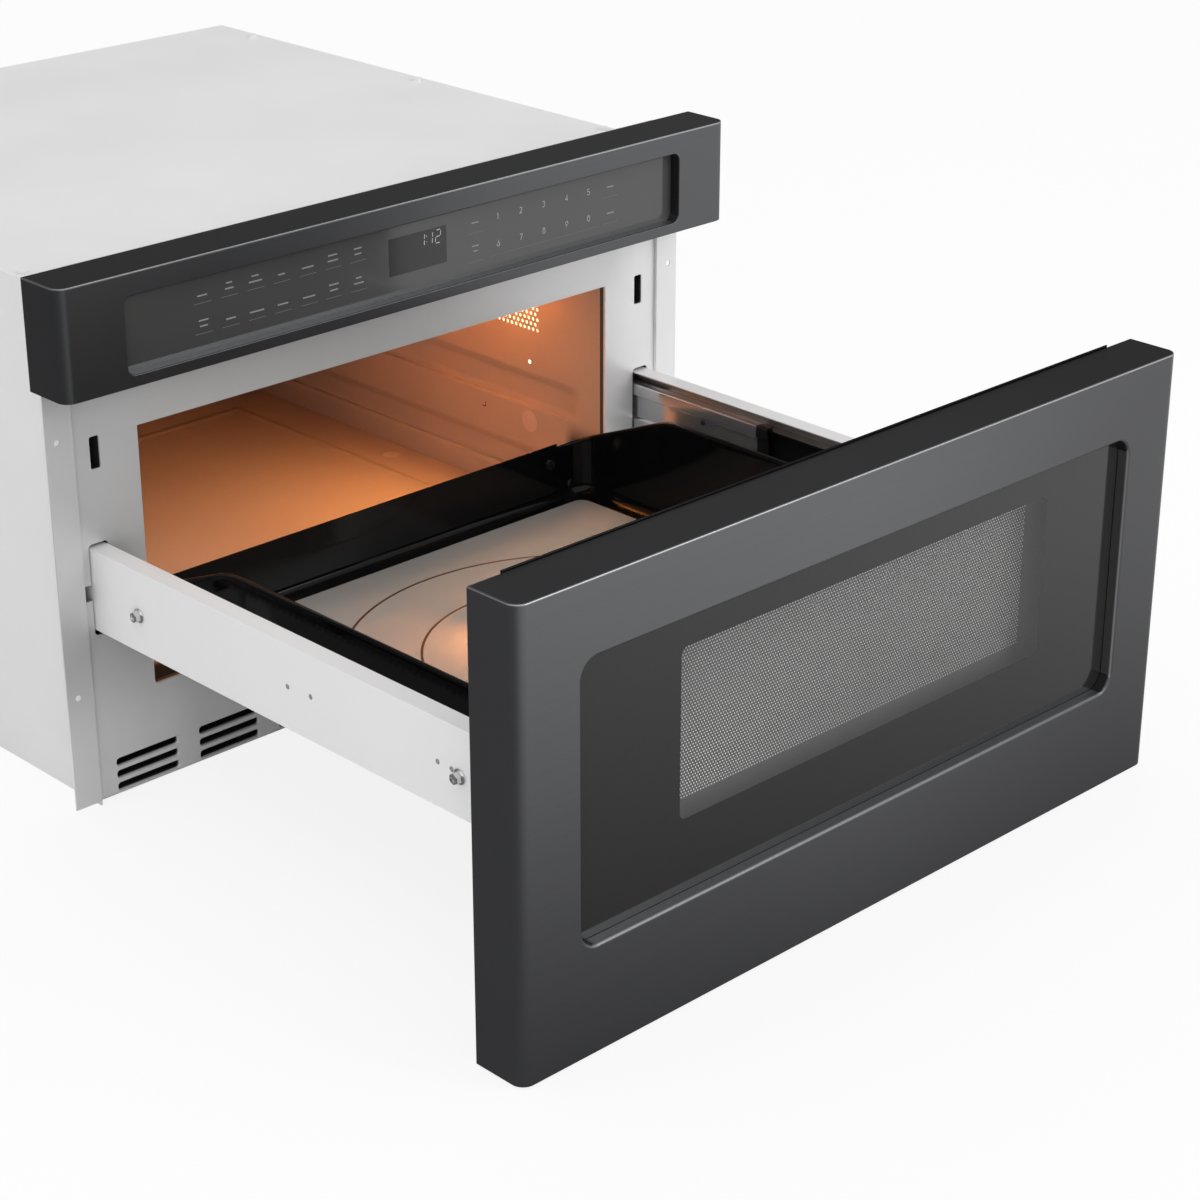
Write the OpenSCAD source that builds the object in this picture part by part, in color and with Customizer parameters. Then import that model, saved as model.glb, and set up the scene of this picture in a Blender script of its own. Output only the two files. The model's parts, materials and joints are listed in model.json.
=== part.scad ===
// Built-in microwave oven whose door and cooking tray pull out together as a drawer.
// X runs to the right across the front, Y runs back into the case and Z runs up.
// The drawer's pieces are drawn closed and then moved forward by the travel.

/* [Cavity] */
// Width inside the cooking cavity
cavity_w = 438.6; // [420:0.1:460]
// Height of the cavity's mouth
cavity_h = 193; // [186:0.5:215]
// Height of the mouth's lower edge above the case floor
cavity_z = 75; // [74:0.5:84]
// Depth of the cavity behind the front plate
cavity_d = 480; // [470:1:520]
// Step down from the mouth's lower edge to the cavity floor
floor_drop = 7; // [3:0.5:7]
// Thickness of the cavity sheet
cavity_t = 1; // [0.8:0.1:1.2]
// Depth of the turned edge round the mouth
mouth_lip = 6; // [4:0.5:9]
// Radius of the mouth's lower corners
mouth_r = 3; // [2:0.5:6]
// Outward press of the bands in the side walls
band_depth = 3; // [2:0.5:5]
// Side of the square stirrer well in the ceiling
well_w = 172; // [168:1:200]
// Height of the stirrer well
well_h = 16; // [14:0.5:18]
// Distance from the front plate to the middle of the stirrer well
well_set = 220; // [200:1:240]
// Bore of one hole in the perforated lamp window
lamp_hole_d = 3; // [2:0.1:3.6]

/* [Case] */
// Thickness of the case sheet
sheet = 1.2; // [1:0.1:1.4]
// Height of the case above the mouth
head_room = 105; // [102:1:130]
// Depth of the case behind the cavity
back_room = 68; // [64:1:90]
// Gap between the drawer rails and the case sides
side_gap = 8.1; // [7.9:0.1:12]
// Width of the mounting flange on each side
flange_w = 20; // [16:0.5:30]
// Distance from the drawer's closing plane back to the mounting flange
flange_set = 2; // [1:0.5:3]
// Distance from the drawer's closing plane back to the front plate
plate_set = 5; // [4.5:0.5:7]
// Radius of the front plate's rolled lower edge
lip_r = 5; // [4:0.5:8]
// Depth of the front plate's lower edge
lip_d = 17; // [12:0.5:25]
// Bore of a mounting hole
mount_hole_d = 4.4; // [3.5:0.1:6]
// Height of the lower mounting hole
mount_hole_z = 87; // [60:1:110]
// Distance between the lower and the upper mounting hole
mount_pitch = 186; // [150:1:220]
// Distance of the mounting holes from the flange's outer edge
mount_edge = 8.6; // [6:0.1:10]
// Width of one air slot
vent_w = 53.5; // [30:0.5:60]
// Height of one air slot
vent_h = 6.5; // [3:0.5:7]
// Distance between the air slots in a group
vent_pitch = 9.5; // [9:0.5:12]
// Distance between the groups of air slots
vent_group_pitch = 71.4; // [66:0.2:90]

/* [Fronts] */
// Overlap of the fronts beyond the mounting flange
reveal = 9.5; // [5:0.5:15]
// Depth of the drawer front
door_d = 40.5; // [38:0.5:60]
// Height of the drawer front's lower edge
door_z = 1; // [0.5:0.5:3]
// Height of the drawer front above the mouth
door_over = 43; // [40:0.5:50]
// Gap between the closed drawer front and its closing plane
door_gap = 1; // [0.8:0.1:1]
// Gap between the drawer front and the control panel
front_gap = 3; // [2:0.5:6]
// Depth of the control panel
panel_d = 40; // [38:0.5:60]
// Height of the control panel
panel_h = 77; // [74:0.5:100]
// Radius of the fronts' upright edges
edge_r = 9; // [4:0.5:12]
// Depth of the recesses in the fronts
recess_d = 9; // [5:0.5:10]
// Corner radius of the drawer front's recess
door_recess_r = 13; // [6:0.5:20]
// Corner radius of the control panel's recess
panel_recess_r = 6; // [3:0.5:10]
// Thickness of the drawer front's glass
door_glass_t = 4; // [3:0.5:5]
// Thickness of the control panel's glass
panel_glass_t = 3; // [2:0.5:4]
// Width of the clock display
display_w = 54; // [40:1:80]
// Height of the clock display
display_h = 22; // [16:1:26]

/* [Tray] */
// Gap between the tray's wall and the cavity's wall
tray_gap = 12.3; // [8:0.1:20]
// Width of the tray's rim
tray_rim = 4; // [2:0.5:6]
// Height of the tray above the mouth's lower edge
tray_lift = 16; // [12:0.5:20]
// Height of the tray
tray_h = 91; // [80:1:92]
// Depth of the tray
tray_d = 440.8; // [420:0.1:470]
// Thickness of the tray's sheet
tray_t = 1.2; // [1:0.1:2]
// Angle at which the rim falls toward the back
tray_slope = 22.6; // [15:0.1:25]
// Length of the stretch over which the rim falls
tray_fall = 104; // [80:1:120]
// Radius where the rim starts to fall
tray_fall_r = 57; // [20:1:80]
// Thickness of the glass plate in the tray
plate_t = 4.5; // [3:0.5:6]
// Width of the pan's border round the glass plate
plate_border = 13; // [8:0.5:20]

/* [Rails and slides] */
// Travel of the drawer
travel = 423; // [380:1:430]
// Height of a rail
rail_h = 60; // [58:0.5:62]
// Width of a rail
rail_w = 14; // [13.8:0.1:15]
// Reach of the rails behind the idler gears' axis with the drawer open
rail_over = 12; // [8:0.5:20]
// Height of the rails above the mouth's lower edge
rail_lift = 56; // [54:0.5:58]
// Gap between a rail and the sides of its slot
slot_gap = 1; // [0.6:0.1:1.4]
// Reach of the slide brackets out of the cavity's wall
bracket_w = 24.1; // [22:0.1:30]
// Width of a telescopic slide
slide_w = 18.6; // [18.4:0.1:20]
// Height of a telescopic slide
slide_h = 42; // [40:0.5:44]
// Thickness of the slide sheet
slide_t = 1.2; // [1:0.1:1.4]
// Running gap inside a slide
slide_gap = 0.6; // [0.4:0.1:0.8]

/* [Drive] */
// Module of the racks, the idler gears and the pinions
rack_m = 2; // [2:0.1:2.1]
// Teeth of an idler gear
idler_teeth = 38; // [38:2:40]
// Teeth of a pinion on the cross shaft
pinion_teeth = 16; // [16:4:20]
// Module of the motor's gears
motor_m = 1; // [0.8:0.1:1]
// Teeth of the driven gear
driven_teeth = 44; // [36:4:44]
// Teeth of the motor pinion
motor_teeth = 14; // [14:2:18]
// Diameter of the cross shaft
shaft_d = 8; // [6:0.5:10]

/* [Fan and stirrer] */
// Diameter of the fan wheel
fan_d = 70; // [50:1:72]
// Diameter of the stirrer
stirrer_d = 150; // [100:1:156]

/* [Hidden] */
$fn = 48;

// Colours
zinc = "#c9c9cb";
rail_grey = "#bdbdbf";
graphite = "#4a4a4d";
dark_glass = "#2f3032";
enamel = "#141414";
oven_grey = "#a9765a";
plate_tone = "#b8ada5";
board_green = "#2d5a3a";
copper = "#b4714a";
polymer = "#dcd8cf";
black = "#1c1c1c";

// Overrun of every cut
cut = 1;
// Clearance of a piece that sits in another
fit = 0.3;
// Radial clearance of a shaft in its bore
shaft_gap = 0.3;

// Half widths, from the cavity outward
cav_x = cavity_w / 2;
wall_x = cav_x + cavity_t;
slide_x = wall_x + bracket_w;
rail_x = slide_x + slide_w;
rail_out = rail_x + sheet;
rail_in = rail_out - rail_w;
side_x = rail_out + side_gap;
case_x = side_x + sheet;
flange_x = case_x + flange_w;
unit_x = flange_x + reveal;

// Heights
cav_floor = cavity_z - floor_drop;
mouth_top = cavity_z + cavity_h;
roof = mouth_top + cavity_t;
well_top = roof + well_h;
case_h = mouth_top + head_room;
door_top = mouth_top + door_over;
panel_z = door_top + front_gap;
panel_top = panel_z + panel_h;
rail_z = cavity_z + rail_lift;
rail_top = rail_z + rail_h;
tray_z = cavity_z + tray_lift;
tray_top = tray_z + tray_h;

// Depths, with the drawer closed
plate_back = plate_set + sheet;
shell_front = plate_set + mouth_lip;
cav_back = plate_set + cavity_d;
case_back = cav_back + back_room;
well_y = plate_set + well_set;
door_back = -door_gap;
door_front = door_back - door_d;
inner_back = door_back + sheet;
tray_back = inner_back + tray_d;
gland_flange_t = 3;
rear_end = case_back + gland_flange_t;

// The origin lies on the floor under the middle of the whole, drawer open
mid_y = (door_front - travel + rear_end) / 2;

// Lower end of the mounting flanges
flange_z = 3;

// Slots in the front plate
slot_below = 4.5;
slot_above = 2.5;
slot_r = 3;
bolt_drop = 2.2;
bolt_z = rail_z + rail_h / 2 - bolt_drop;
bolt_flange_r = 5.2;
bolt_slot_gap = 0.6;
latch_inset = 4.1;
latch_drop = 10.25;
latch_x = rail_in + latch_inset;
latch_z = mouth_top - latch_drop;
latch_slot_w = 7.8;
latch_slot_h = 23.1;
latch_slot_r = 1.5;

// Air slots in the front plate
vent_first_x = 86.8;
vent_first_z = 7;
vent_rows = 3;
vent_margin = 15;
vent_r = 2.5;
vent_groups = floor((side_x - vent_margin - vent_w / 2 - vent_first_x) / vent_group_pitch) + 1;

// Returns of the case sheets
return_w = 14;
return_end = 20;
plate_return_d = 14;
plate_return_clear = 12;
case_screw_r = 2;
case_screw_head_r = 4;
case_screw_head_h = 2;
case_screw_len = 6;
case_screw_x = side_x - return_w / 2;
case_screw_z = [for (share = [0.1, 0.5, 0.9]) return_end + share * (case_h - 2 * return_end)];
case_screw_y = [for (share = [0.1, 0.5, 0.9]) share * case_back];

// Pressed bands in the cavity's side walls
upper_band_lift = 85;
upper_band_h = 26;
lower_band_lift = 24.5;
lower_band_h = 21;
band_front_set = 43;
band_back_set = 45;
upper_band_z = cavity_z + upper_band_lift;
lower_band_z = cavity_z + lower_band_lift;
band_front = plate_set + band_front_set;
band_back = cav_back - band_back_set;

// Perforated lamp window in the right wall
lamp_pitch = 5;
lamp_set = 111;
lamp_drop = 35.5;
lamp_y = plate_set + lamp_set;
lamp_z = mouth_top - lamp_drop;
lamp_win_d = 66;
lamp_win_h = 43;
lamp_margin = 5;
lamp_house_w = 29.7;
lamp_rows = floor(lamp_win_h / (lamp_pitch * sin(60)));
lamp_cols = floor(lamp_win_d / lamp_pitch);
bulb_r = 9;
bulb_len = 22;
bulb_base_r = 6;

// Coupling holes of the stirrer and the antenna
coupling_r = 30;
stirrer_shaft_r = 3;
antenna_r = 8;
antenna_hole_r = 11;

// Waveguide over the stirrer well
guide_w = 90;
guide_h = 30;
guide_t = 1;
guide_reach = 35;
guide_back_set = 45;
guide_bore_gap = 1;
guide_front = well_y - guide_reach;
guide_back = cav_back - guide_back_set;
launch_d = 40;
launch_h = 80;
cover_margin = 8;

// Magnetron behind the waveguide
magnetron_w = 94;
magnetron_d = 56;
magnetron_h = 76;
magnetron_t = 1.5;
magnetron_lift = 5;
magnetron_z = well_top + launch_h / 2 + magnetron_lift;
anode_r = 20;
fin_count = 6;
fin_t = 0.8;
antenna_len = 26;
filter_w = 60;
filter_d = 28;
filter_h = 50;

// Stirrer and its motor
stirrer_motor_r = 25;
stirrer_motor_h = 25;
stirrer_blade_t = 2;
stirrer_blade_w = 34;
stirrer_hub_r = 8;
stirrer_lift = 5;
stirrer_blades = 4;
stirrer_shaft_in = 8;

// High voltage supply, on the cavity's roof to the left
board_w = 130;
board_d = 170;
board_t = 1.6;
board_edge = 22;
board_set = 110;
board_x = board_w / 2 + board_edge - side_x;
board_y = well_y + board_set;
standoff_h = 6;
standoff_r = 3;
standoff_edge = 8;
core_w = 56;
core_d = 50;
core_h = 44;
core_leg = 14;
coil_gap = 0.4;
sink_w = 44;
sink_d = 70;
sink_h = 36;
sink_base = 4;
sink_fins = 7;
sink_fin_t = 1.6;

// Cooling fan, beside the magnetron
fan_x = -118;
fan_frame = 84;
fan_frame_d = 26;
fan_set = 2;
fan_lift = 58;
fan_y = cav_back + fan_set;
fan_z = roof + fan_lift;
fan_gap = 3;
fan_hub_r = 11;
fan_hub_d = 18;
fan_blades = 5;
fan_blade_t = 1.6;
fan_blade_w = 17;
fan_blade_deg = 38;
fan_shaft_r = 2;
fan_plate_t = 2;
fan_boss_r = 19;
fan_arm_w = 8;
fan_motor_r = 18;
fan_motor_d = 30;

// Cut-out discs
cutout_r = 8;
cutout_h = 6;
cutout_cap_r = 5;
cutout_cap_h = 4;

// Cable gland in the rear panel
gland_inset = 72;
gland_x = gland_inset - side_x;
gland_z = 60;
gland_r = 11;
gland_bore_r = 4.5;
gland_flange_r = 15;
gland_depth = 14;
gland_nut_h = 5;

// Air slots in the rear panel
rear_vent_w = 44;
rear_vent_h = 4;
rear_vent_pitch = 9;
rear_vent_rows = 8;
rear_vent_cols = 5;
rear_vent_col_pitch = 60;

// Recess of the drawer front: sides, bottom and top
door_margin = 49;
door_margin_low = 74.2;
door_margin_top = 48.8;
door_recess_x = unit_x - door_margin;
door_recess_z = [door_z + door_margin_low, door_top - door_margin_top];
door_lip = [37, 20];
glass_seat = 6;

// Recess of the control panel: sides, bottom and top
panel_margin = 50;
panel_margin_low = 8;
panel_margin_top = 15.8;
panel_recess_x = unit_x - panel_margin;
panel_recess_z = [panel_z + panel_margin_low, panel_top - panel_margin_top];
panel_glass_seat = 4;

// Control panel's inner pieces
panel_front = -panel_d;
panel_glass_y = panel_front + recess_d;
chassis_y = panel_glass_y + panel_glass_t;
chassis_t = 2;
chassis_inset = 4.3;
chassis_x = side_x - chassis_inset;
chassis_z = [panel_z + sheet + fit, panel_top - sheet - fit];
display_lift = 38;
display_z = panel_z + display_lift;
display_t = 4;
control_board_w = 240;
control_board_h = 46;
control_stud_r = 3;
control_stud_edge = 8;

// Inner panel, screen and inner window of the drawer front
inner_panel_side = 26;
inner_panel_low = 7;
inner_panel_over = 1.4;
inner_panel_x = unit_x - inner_panel_side;
inner_panel_z = [door_z + inner_panel_low, door_top + inner_panel_over];
screen_side = 69;
screen_low = 42.8;
screen_high = 6.2;
screen_x = door_recess_x - screen_side;
screen_z = [door_recess_z[0] + screen_low, door_recess_z[1] - screen_high];
screen_depth = 11;
screen_t = 0.6;
screen_seat = 3;
collar_t = 1;
inner_window_t = 3;

// Ring on the drawer front's back
choke_air = 0.8;
choke_in_gap = 4;
choke_rail_gap = 4.2;
choke_low = 25;
choke_high = 22;
choke_in_x = cav_x - tray_gap + tray_rim + choke_in_gap;
choke_in_z = [tray_z - choke_in_gap, mouth_top + choke_in_gap];
choke_out_x = rail_in - choke_rail_gap;
choke_out_z = [cavity_z - choke_low, mouth_top + choke_high];
choke_r = 8;

// Brackets between the drawer front and the rails
door_bracket_d = 15.8;
door_bracket_w = 7;
door_bracket_lift = 13;
door_bracket_h = 36;
door_bracket_z = [rail_z + door_bracket_lift, rail_z + door_bracket_lift + door_bracket_h];
door_bracket_t = 3;

// Telescopic slides: heights and ends with the drawer closed
slide_lift = 31;
channel_set = 7;
channel_len = 430;
mid_set_back = 61;
mid_len = 330;
inner_set_back = 21.8;
inner_len = 380;
slide_z = rail_z + slide_lift;
channel_y = [plate_set + channel_set, plate_set + channel_set + channel_len];
mid_y_ends = [channel_y[0] + mid_set_back, channel_y[0] + mid_set_back + mid_len];
inner_y_ends = [inner_back + inner_set_back, inner_back + inner_set_back + inner_len];
channel_flange = 10.8;
mid_set = 6;
mid_flange = 7.2;
inner_flange = 9.5;
mid_h = slide_h - 2 * slide_t - 2 * slide_gap;
inner_h = mid_h - 2 * slide_t - 2 * slide_gap;
mid_cap_t = 1.4;
mid_cap_len = 11.5;
mid_cap_h = 10.2;
bracket_len = 40;
bracket_foot = 10;
bracket_places = [for (share = [0.12, 0.45, 0.78]) plate_set + share * cavity_d];

// Latch hooks and their guides
hook_w = 5;
hook_h = 19;
hook_len = 33.5;
hook_notch_d = 12;
hook_notch_h = 6;
hook_nose = 7;
guide_wall = 3;
switch_d = 28;

// Racks and gears
pressure_angle = 20;
addendum_share = 0.8;
dedendum_share = 1.05;
tooth_share = 0.95;
flank_steps = 4;
rack_pitch = PI * rack_m;
rack_w = 7;
rack_gap = 0.4;
rack_lift = 2;
rack_pitch_z = rail_z + rack_lift;
rack_h = 9.4;
rack_front_set = 11.8;
rack_back_set = 1;
gear_w = 6.2;
gear_x = [rail_x - rack_gap - gear_w, rail_x - rack_gap];
gear_set = 45;
gear_y = plate_set + gear_set;
rail_y = [inner_back, gear_y + travel + rail_over];
rack_y = [rail_y[0] + rack_front_set, rail_y[1] - rack_back_set];
idler_r = rack_m * idler_teeth / 2;
pinion_r = rack_m * pinion_teeth / 2;
driven_r = motor_m * driven_teeth / 2;
motor_gear_r = motor_m * motor_teeth / 2;
idler_z = rack_pitch_z - idler_r;
shaft_z = idler_z - idler_r - pinion_r;
shaft_r = shaft_d / 2;
stud_r = 4;
stud_boss_r = 7;
stud_clip_r = 6;
stud_clip_t = 1.2;
hub_r = 9;
gear_plate_t = 2;
gear_plate_front = 30;
gear_plate_back = 35;
gear_plate_gap = 2.4;
gear_plate_y = [gear_y - gear_plate_front, gear_y + gear_plate_back];
gear_plate_x = gear_x[0] - gear_plate_gap - gear_plate_t;
gear_plate_top = 23;
gear_foot_w = 14;

// Drawer motor under the cavity
motor_x = -112;
motor_r = 18;
motor_len = 60;
motor_y = gear_y + driven_r + motor_gear_r;
motor_gear_gap = 4.5;
motor_gear_w = 7;
motor_gear_x = [motor_x - motor_gear_gap - motor_gear_w, motor_x - motor_gear_gap];
motor_shaft_r = 2.5;
motor_shaft_in = 8;
motor_plate_t = 2;
motor_plate_w = 40;
motor_foot = 20;

// Rail bolts: distances from the ends of the drawer's slide members
front_bolt_set = 31;
rear_bolt_set = 27;
bolt_y = [inner_y_ends[0] + front_bolt_set, inner_y_ends[1] - rear_bolt_set];
bolt_flange_t = 1.4;
bolt_hex_r = 4.6;
bolt_hex_h = 4;
bolt_shank_r = 2.5;
bolt_shank_len = 5;
hole_fit = 0.1;

// Border of the pan, its back panel and its screws
ledge_w = 8;
ledge_h = 3.8;
pocket_r = 10;
back_panel_short = 30;
back_panel_top = 55.5;
tray_screw_r = 1.6;
tray_screw_head_r = 4;
tray_screw_head_h = 1.2;
tray_screw_len = 6;
upper_screw_set = 37;
upper_screw_z = 40;
lower_screw_set = 14;
lower_screw_z = 18;

// Moves a piece from the closing plane's frame to the part's frame
module placed() {
    translate([0, -mid_y, 0]) children();
}

// Moves a drawer piece from closed to open by a share of the travel
module opened(share = 1) {
    placed() translate([0, -travel * share, 0]) children();
}

// Draws a piece on the right and its mirror on the left
module both_sides() {
    children();
    mirror([1, 0, 0]) children();
}

module left_side() {
    mirror([1, 0, 0]) children();
}

// Block between two values on each axis
module slab(x, y, z) {
    translate([min(x), min(y), min(z)])
        cube([max(x) - min(x), max(y) - min(y), max(z) - min(z)]);
}

// Round bars along X, Y and Z
module bar_x(r, x, y, z) {
    translate([min(x), y, z]) rotate([0, 90, 0]) cylinder(r = r, h = max(x) - min(x));
}

module bar_y(r, x, y, z) {
    translate([x, max(y), z]) rotate([90, 0, 0]) cylinder(r = r, h = max(y) - min(y));
}

module bar_z(r, x, y, z) {
    translate([x, y, min(z)]) cylinder(r = r, h = max(z) - min(z));
}

// Turns an outline drawn in X and Z into a plate between two depths
module facing(y) {
    translate([0, max(y), 0]) rotate([90, 0, 0]) linear_extrude(max(y) - min(y)) children();
}

// Turns an outline drawn in Y and Z into a bar between two widths
module across(x) {
    translate([min(x), 0, 0]) rotate([90, 0, 90]) linear_extrude(max(x) - min(x)) children();
}

// Rectangle between two values on each axis, with round corners
module round_rect(x, z, r) {
    translate([min(x), min(z) + r]) square([max(x) - min(x), max(z) - min(z) - 2 * r]);
    translate([min(x) + r, min(z)]) square([max(x) - min(x) - 2 * r, max(z) - min(z)]);
    for (cx = [min(x) + r, max(x) - r], cz = [min(z) + r, max(z) - r])
        translate([cx, cz]) circle(r);
}

// Channel along Y with its web at x[0] and its flanges out to x[1]
module channel(x, y, z, t) {
    web_end = x[0] + sign(x[1] - x[0]) * t;
    slab([x[0], web_end], y, z);
    slab(x, y, [z[0], z[0] + t]);
    slab(x, y, [z[1] - t, z[1]]);
}

// Outline of the mouth: round below, square above
module mouth_outline(grow = 0) {
    round_rect([-cav_x - grow, cav_x + grow], [cavity_z - grow, mouth_top], mouth_r + grow);
    translate([-cav_x - grow, mouth_top - cavity_h / 2])
        square([cavity_w + 2 * grow, cavity_h / 2 + grow]);
}

// Plan of a front whose two upright front edges are round
module front_plan(half_w, y0, y1, r) {
    translate([-half_w, y0 + r]) square([2 * half_w, y1 - y0 - r]);
    translate([r - half_w, y0]) square([2 * (half_w - r), r]);
    for (side = [-1, 1])
        translate([side * (half_w - r), y0 + r]) circle(r);
}

// Sheet front with a walled recess; lip is the width of its back edges, sides and ends
module front_shell(y, z, recess_x, recess_z, recess_r, lip) {
    back = lip[0] > 0 ? y[1] - sheet : y[1] + cut;
    difference() {
        translate([0, 0, z[0]]) linear_extrude(z[1] - z[0]) front_plan(unit_x, y[0], y[1], edge_r);
        translate([0, 0, z[0] + sheet]) linear_extrude(z[1] - z[0] - 2 * sheet)
            front_plan(unit_x - sheet, y[0] + sheet, back, edge_r - sheet);
        slab([lip[0] - unit_x, unit_x - lip[0]], [back - cut, y[1] + cut], [z[0] + lip[1], z[1] - lip[1]]);
        facing([y[0] - cut, y[0] + sheet + cut]) round_rect([-recess_x, recess_x], recess_z, recess_r);
    }
    facing([y[0], y[0] + recess_d]) difference() {
        round_rect([-recess_x - sheet, recess_x + sheet], [recess_z[0] - sheet, recess_z[1] + sheet],
            recess_r + sheet);
        round_rect([-recess_x, recess_x], recess_z, recess_r);
    }
}

// Roll of an involute at an angle, in degrees
function roll(a) = tan(a) * 180 / PI - a;

// Half the angle that a tooth covers at radius r
function half_tooth(r, teeth, base_r) =
    90 / teeth * tooth_share + roll(pressure_angle) - roll(acos(min(1, base_r / r)));

// Points of one flank from the root to the tip, at the angle a
function flank(a, side, teeth, radii, base_r) = [
    for (r = radii)
        let (turn = a + side * half_tooth(r, teeth, base_r))
        [r * cos(turn), r * sin(turn)]
];

function turned_round(points) = [for (i = [len(points) - 1 : -1 : 0]) points[i]];

// Involute gear outline with a tooth at angle 0
module gear_outline(m, teeth) {
    pitch_r = m * teeth / 2;
    base_r = pitch_r * cos(pressure_angle);
    root_r = pitch_r - m * dedendum_share;
    tip_r = pitch_r + m * addendum_share;
    radii = [for (i = [0 : flank_steps]) root_r + (tip_r - root_r) * i / flank_steps];
    polygon([
        for (i = [0 : teeth - 1])
            let (a = 360 * i / teeth)
            each concat(flank(a, -1, teeth, radii, base_r), turned_round(flank(a, 1, teeth, radii, base_r)))
    ]);
}

// Gear whose axis runs along X; turn is in degrees
module gear_x_axis(m, teeth, x, y, z, turn = 0) {
    translate([0, y, z]) across(x) rotate(turn) gear_outline(m, teeth);
}

// Fixed case

module front_plate() {
    color(zinc) placed() difference() {
        union() {
            slab([-side_x, side_x], [plate_set, plate_back], [lip_r, case_h - sheet]);
            translate([0, plate_set + lip_r, lip_r]) across([-side_x, side_x]) intersection() {
                difference() {
                    circle(lip_r);
                    circle(lip_r - sheet);
                }
                translate([-lip_r, -lip_r]) square(lip_r);
            }
            slab([-side_x, side_x], [plate_set + lip_r, plate_set + lip_d], [0, sheet]);
            facing([plate_set, shell_front]) mouth_outline(sheet);
            both_sides() {
                slab([side_x - sheet, side_x], [plate_set, plate_back + plate_return_d],
                    [rail_top + plate_return_clear, case_h - return_end]);
                slab([side_x - sheet, side_x], [plate_set, plate_back + plate_return_d],
                    [return_end, rail_z - plate_return_clear]);
            }
        }
        facing([plate_set - cut, shell_front + cut]) mouth_outline();
        both_sides() {
            facing([plate_set - cut, plate_back + cut]) {
                round_rect([rail_in - slot_gap, rail_out + slot_gap],
                    [rail_z - slot_below, rail_top + slot_above], slot_r);
                round_rect([rail_x, side_x - bolt_slot_gap], [bolt_z - bolt_flange_r - bolt_slot_gap,
                    bolt_z + bolt_flange_r + bolt_slot_gap], latch_slot_r);
                round_rect([latch_x - latch_slot_w / 2, latch_x + latch_slot_w / 2],
                    [latch_z - latch_slot_h / 2, latch_z + latch_slot_h / 2], latch_slot_r);
            }
            for (group = [0 : vent_groups - 1], row = [0 : vent_rows - 1])
                let (vx = vent_first_x + group * vent_group_pitch, vz = vent_first_z + row * vent_pitch)
                facing([plate_set - cut, plate_set + lip_r + cut])
                    round_rect([vx - vent_w / 2, vx + vent_w / 2], [vz - vent_h / 2, vz + vent_h / 2], vent_r);
        }
    }
}

// Right side of the case; the left one is its mirror
module side_panel() {
    difference() {
        union() {
            slab([side_x, case_x], [flange_set, case_back - sheet], [0, case_h - sheet]);
            slab([case_x, flange_x], [flange_set, flange_set + sheet], [flange_z, case_h - sheet]);
            slab([side_x - return_w, side_x], [case_back - 2 * sheet, case_back - sheet],
                [return_end, case_h - return_end]);
            slab([side_x - return_w, side_x], [2 * return_end, case_back - 2 * return_end],
                [case_h - 2 * sheet, case_h - sheet]);
        }
        for (z = [mount_hole_z, mount_hole_z + mount_pitch])
            bar_y(mount_hole_d / 2, flange_x - mount_edge, [flange_set - cut, flange_set + sheet + cut], z);
        for (z = case_screw_z)
            bar_y(case_screw_r + hole_fit, case_screw_x, [case_back - 3 * sheet, case_back], z);
        for (y = case_screw_y)
            bar_z(case_screw_r + hole_fit, case_screw_x, y, [case_h - 3 * sheet, case_h]);
    }
}

module side_panel_left() {
    color(zinc) placed() left_side() side_panel();
}

module side_panel_right() {
    color(zinc) placed() side_panel();
}

module top_panel() {
    color(zinc) placed() difference() {
        slab([-case_x, case_x], [plate_set, case_back], [case_h - sheet, case_h]);
        both_sides() for (y = case_screw_y)
            bar_z(case_screw_r + hole_fit, case_screw_x, y, [case_h - 2 * sheet, case_h + sheet]);
    }
}

module base_plate() {
    color(zinc) placed()
        slab([-side_x, side_x], [plate_set + lip_d, case_back - sheet], [0, sheet]);
}

module rear_panel() {
    vents_left = -(rear_vent_cols - 1) * rear_vent_col_pitch / 2;
    color(zinc) placed() difference() {
        slab([-case_x, case_x], [case_back - sheet, case_back], [0, case_h - sheet]);
        bar_y(gland_r + hole_fit, gland_x, [case_back - 2 * sheet, case_back + cut], gland_z);
        both_sides() for (z = case_screw_z)
            bar_y(case_screw_r + hole_fit, case_screw_x, [case_back - 2 * sheet, case_back + cut], z);
        for (col = [0 : rear_vent_cols - 1], row = [0 : rear_vent_rows - 1])
            let (vx = vents_left + col * rear_vent_col_pitch, vz = well_top + row * rear_vent_pitch)
            facing([case_back - 2 * sheet, case_back + cut])
                round_rect([vx - rear_vent_w / 2, vx + rear_vent_w / 2],
                    [vz - rear_vent_h / 2, vz + rear_vent_h / 2], rear_vent_h / 2 - hole_fit);
    }
}

// One pressed band on the right wall, wider by grow on its outer face
module band(z, h, x, grow) {
    slab(x, [band_front - grow, band_back + grow], [z - h / 2 - grow, z + h / 2 + grow]);
}

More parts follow.
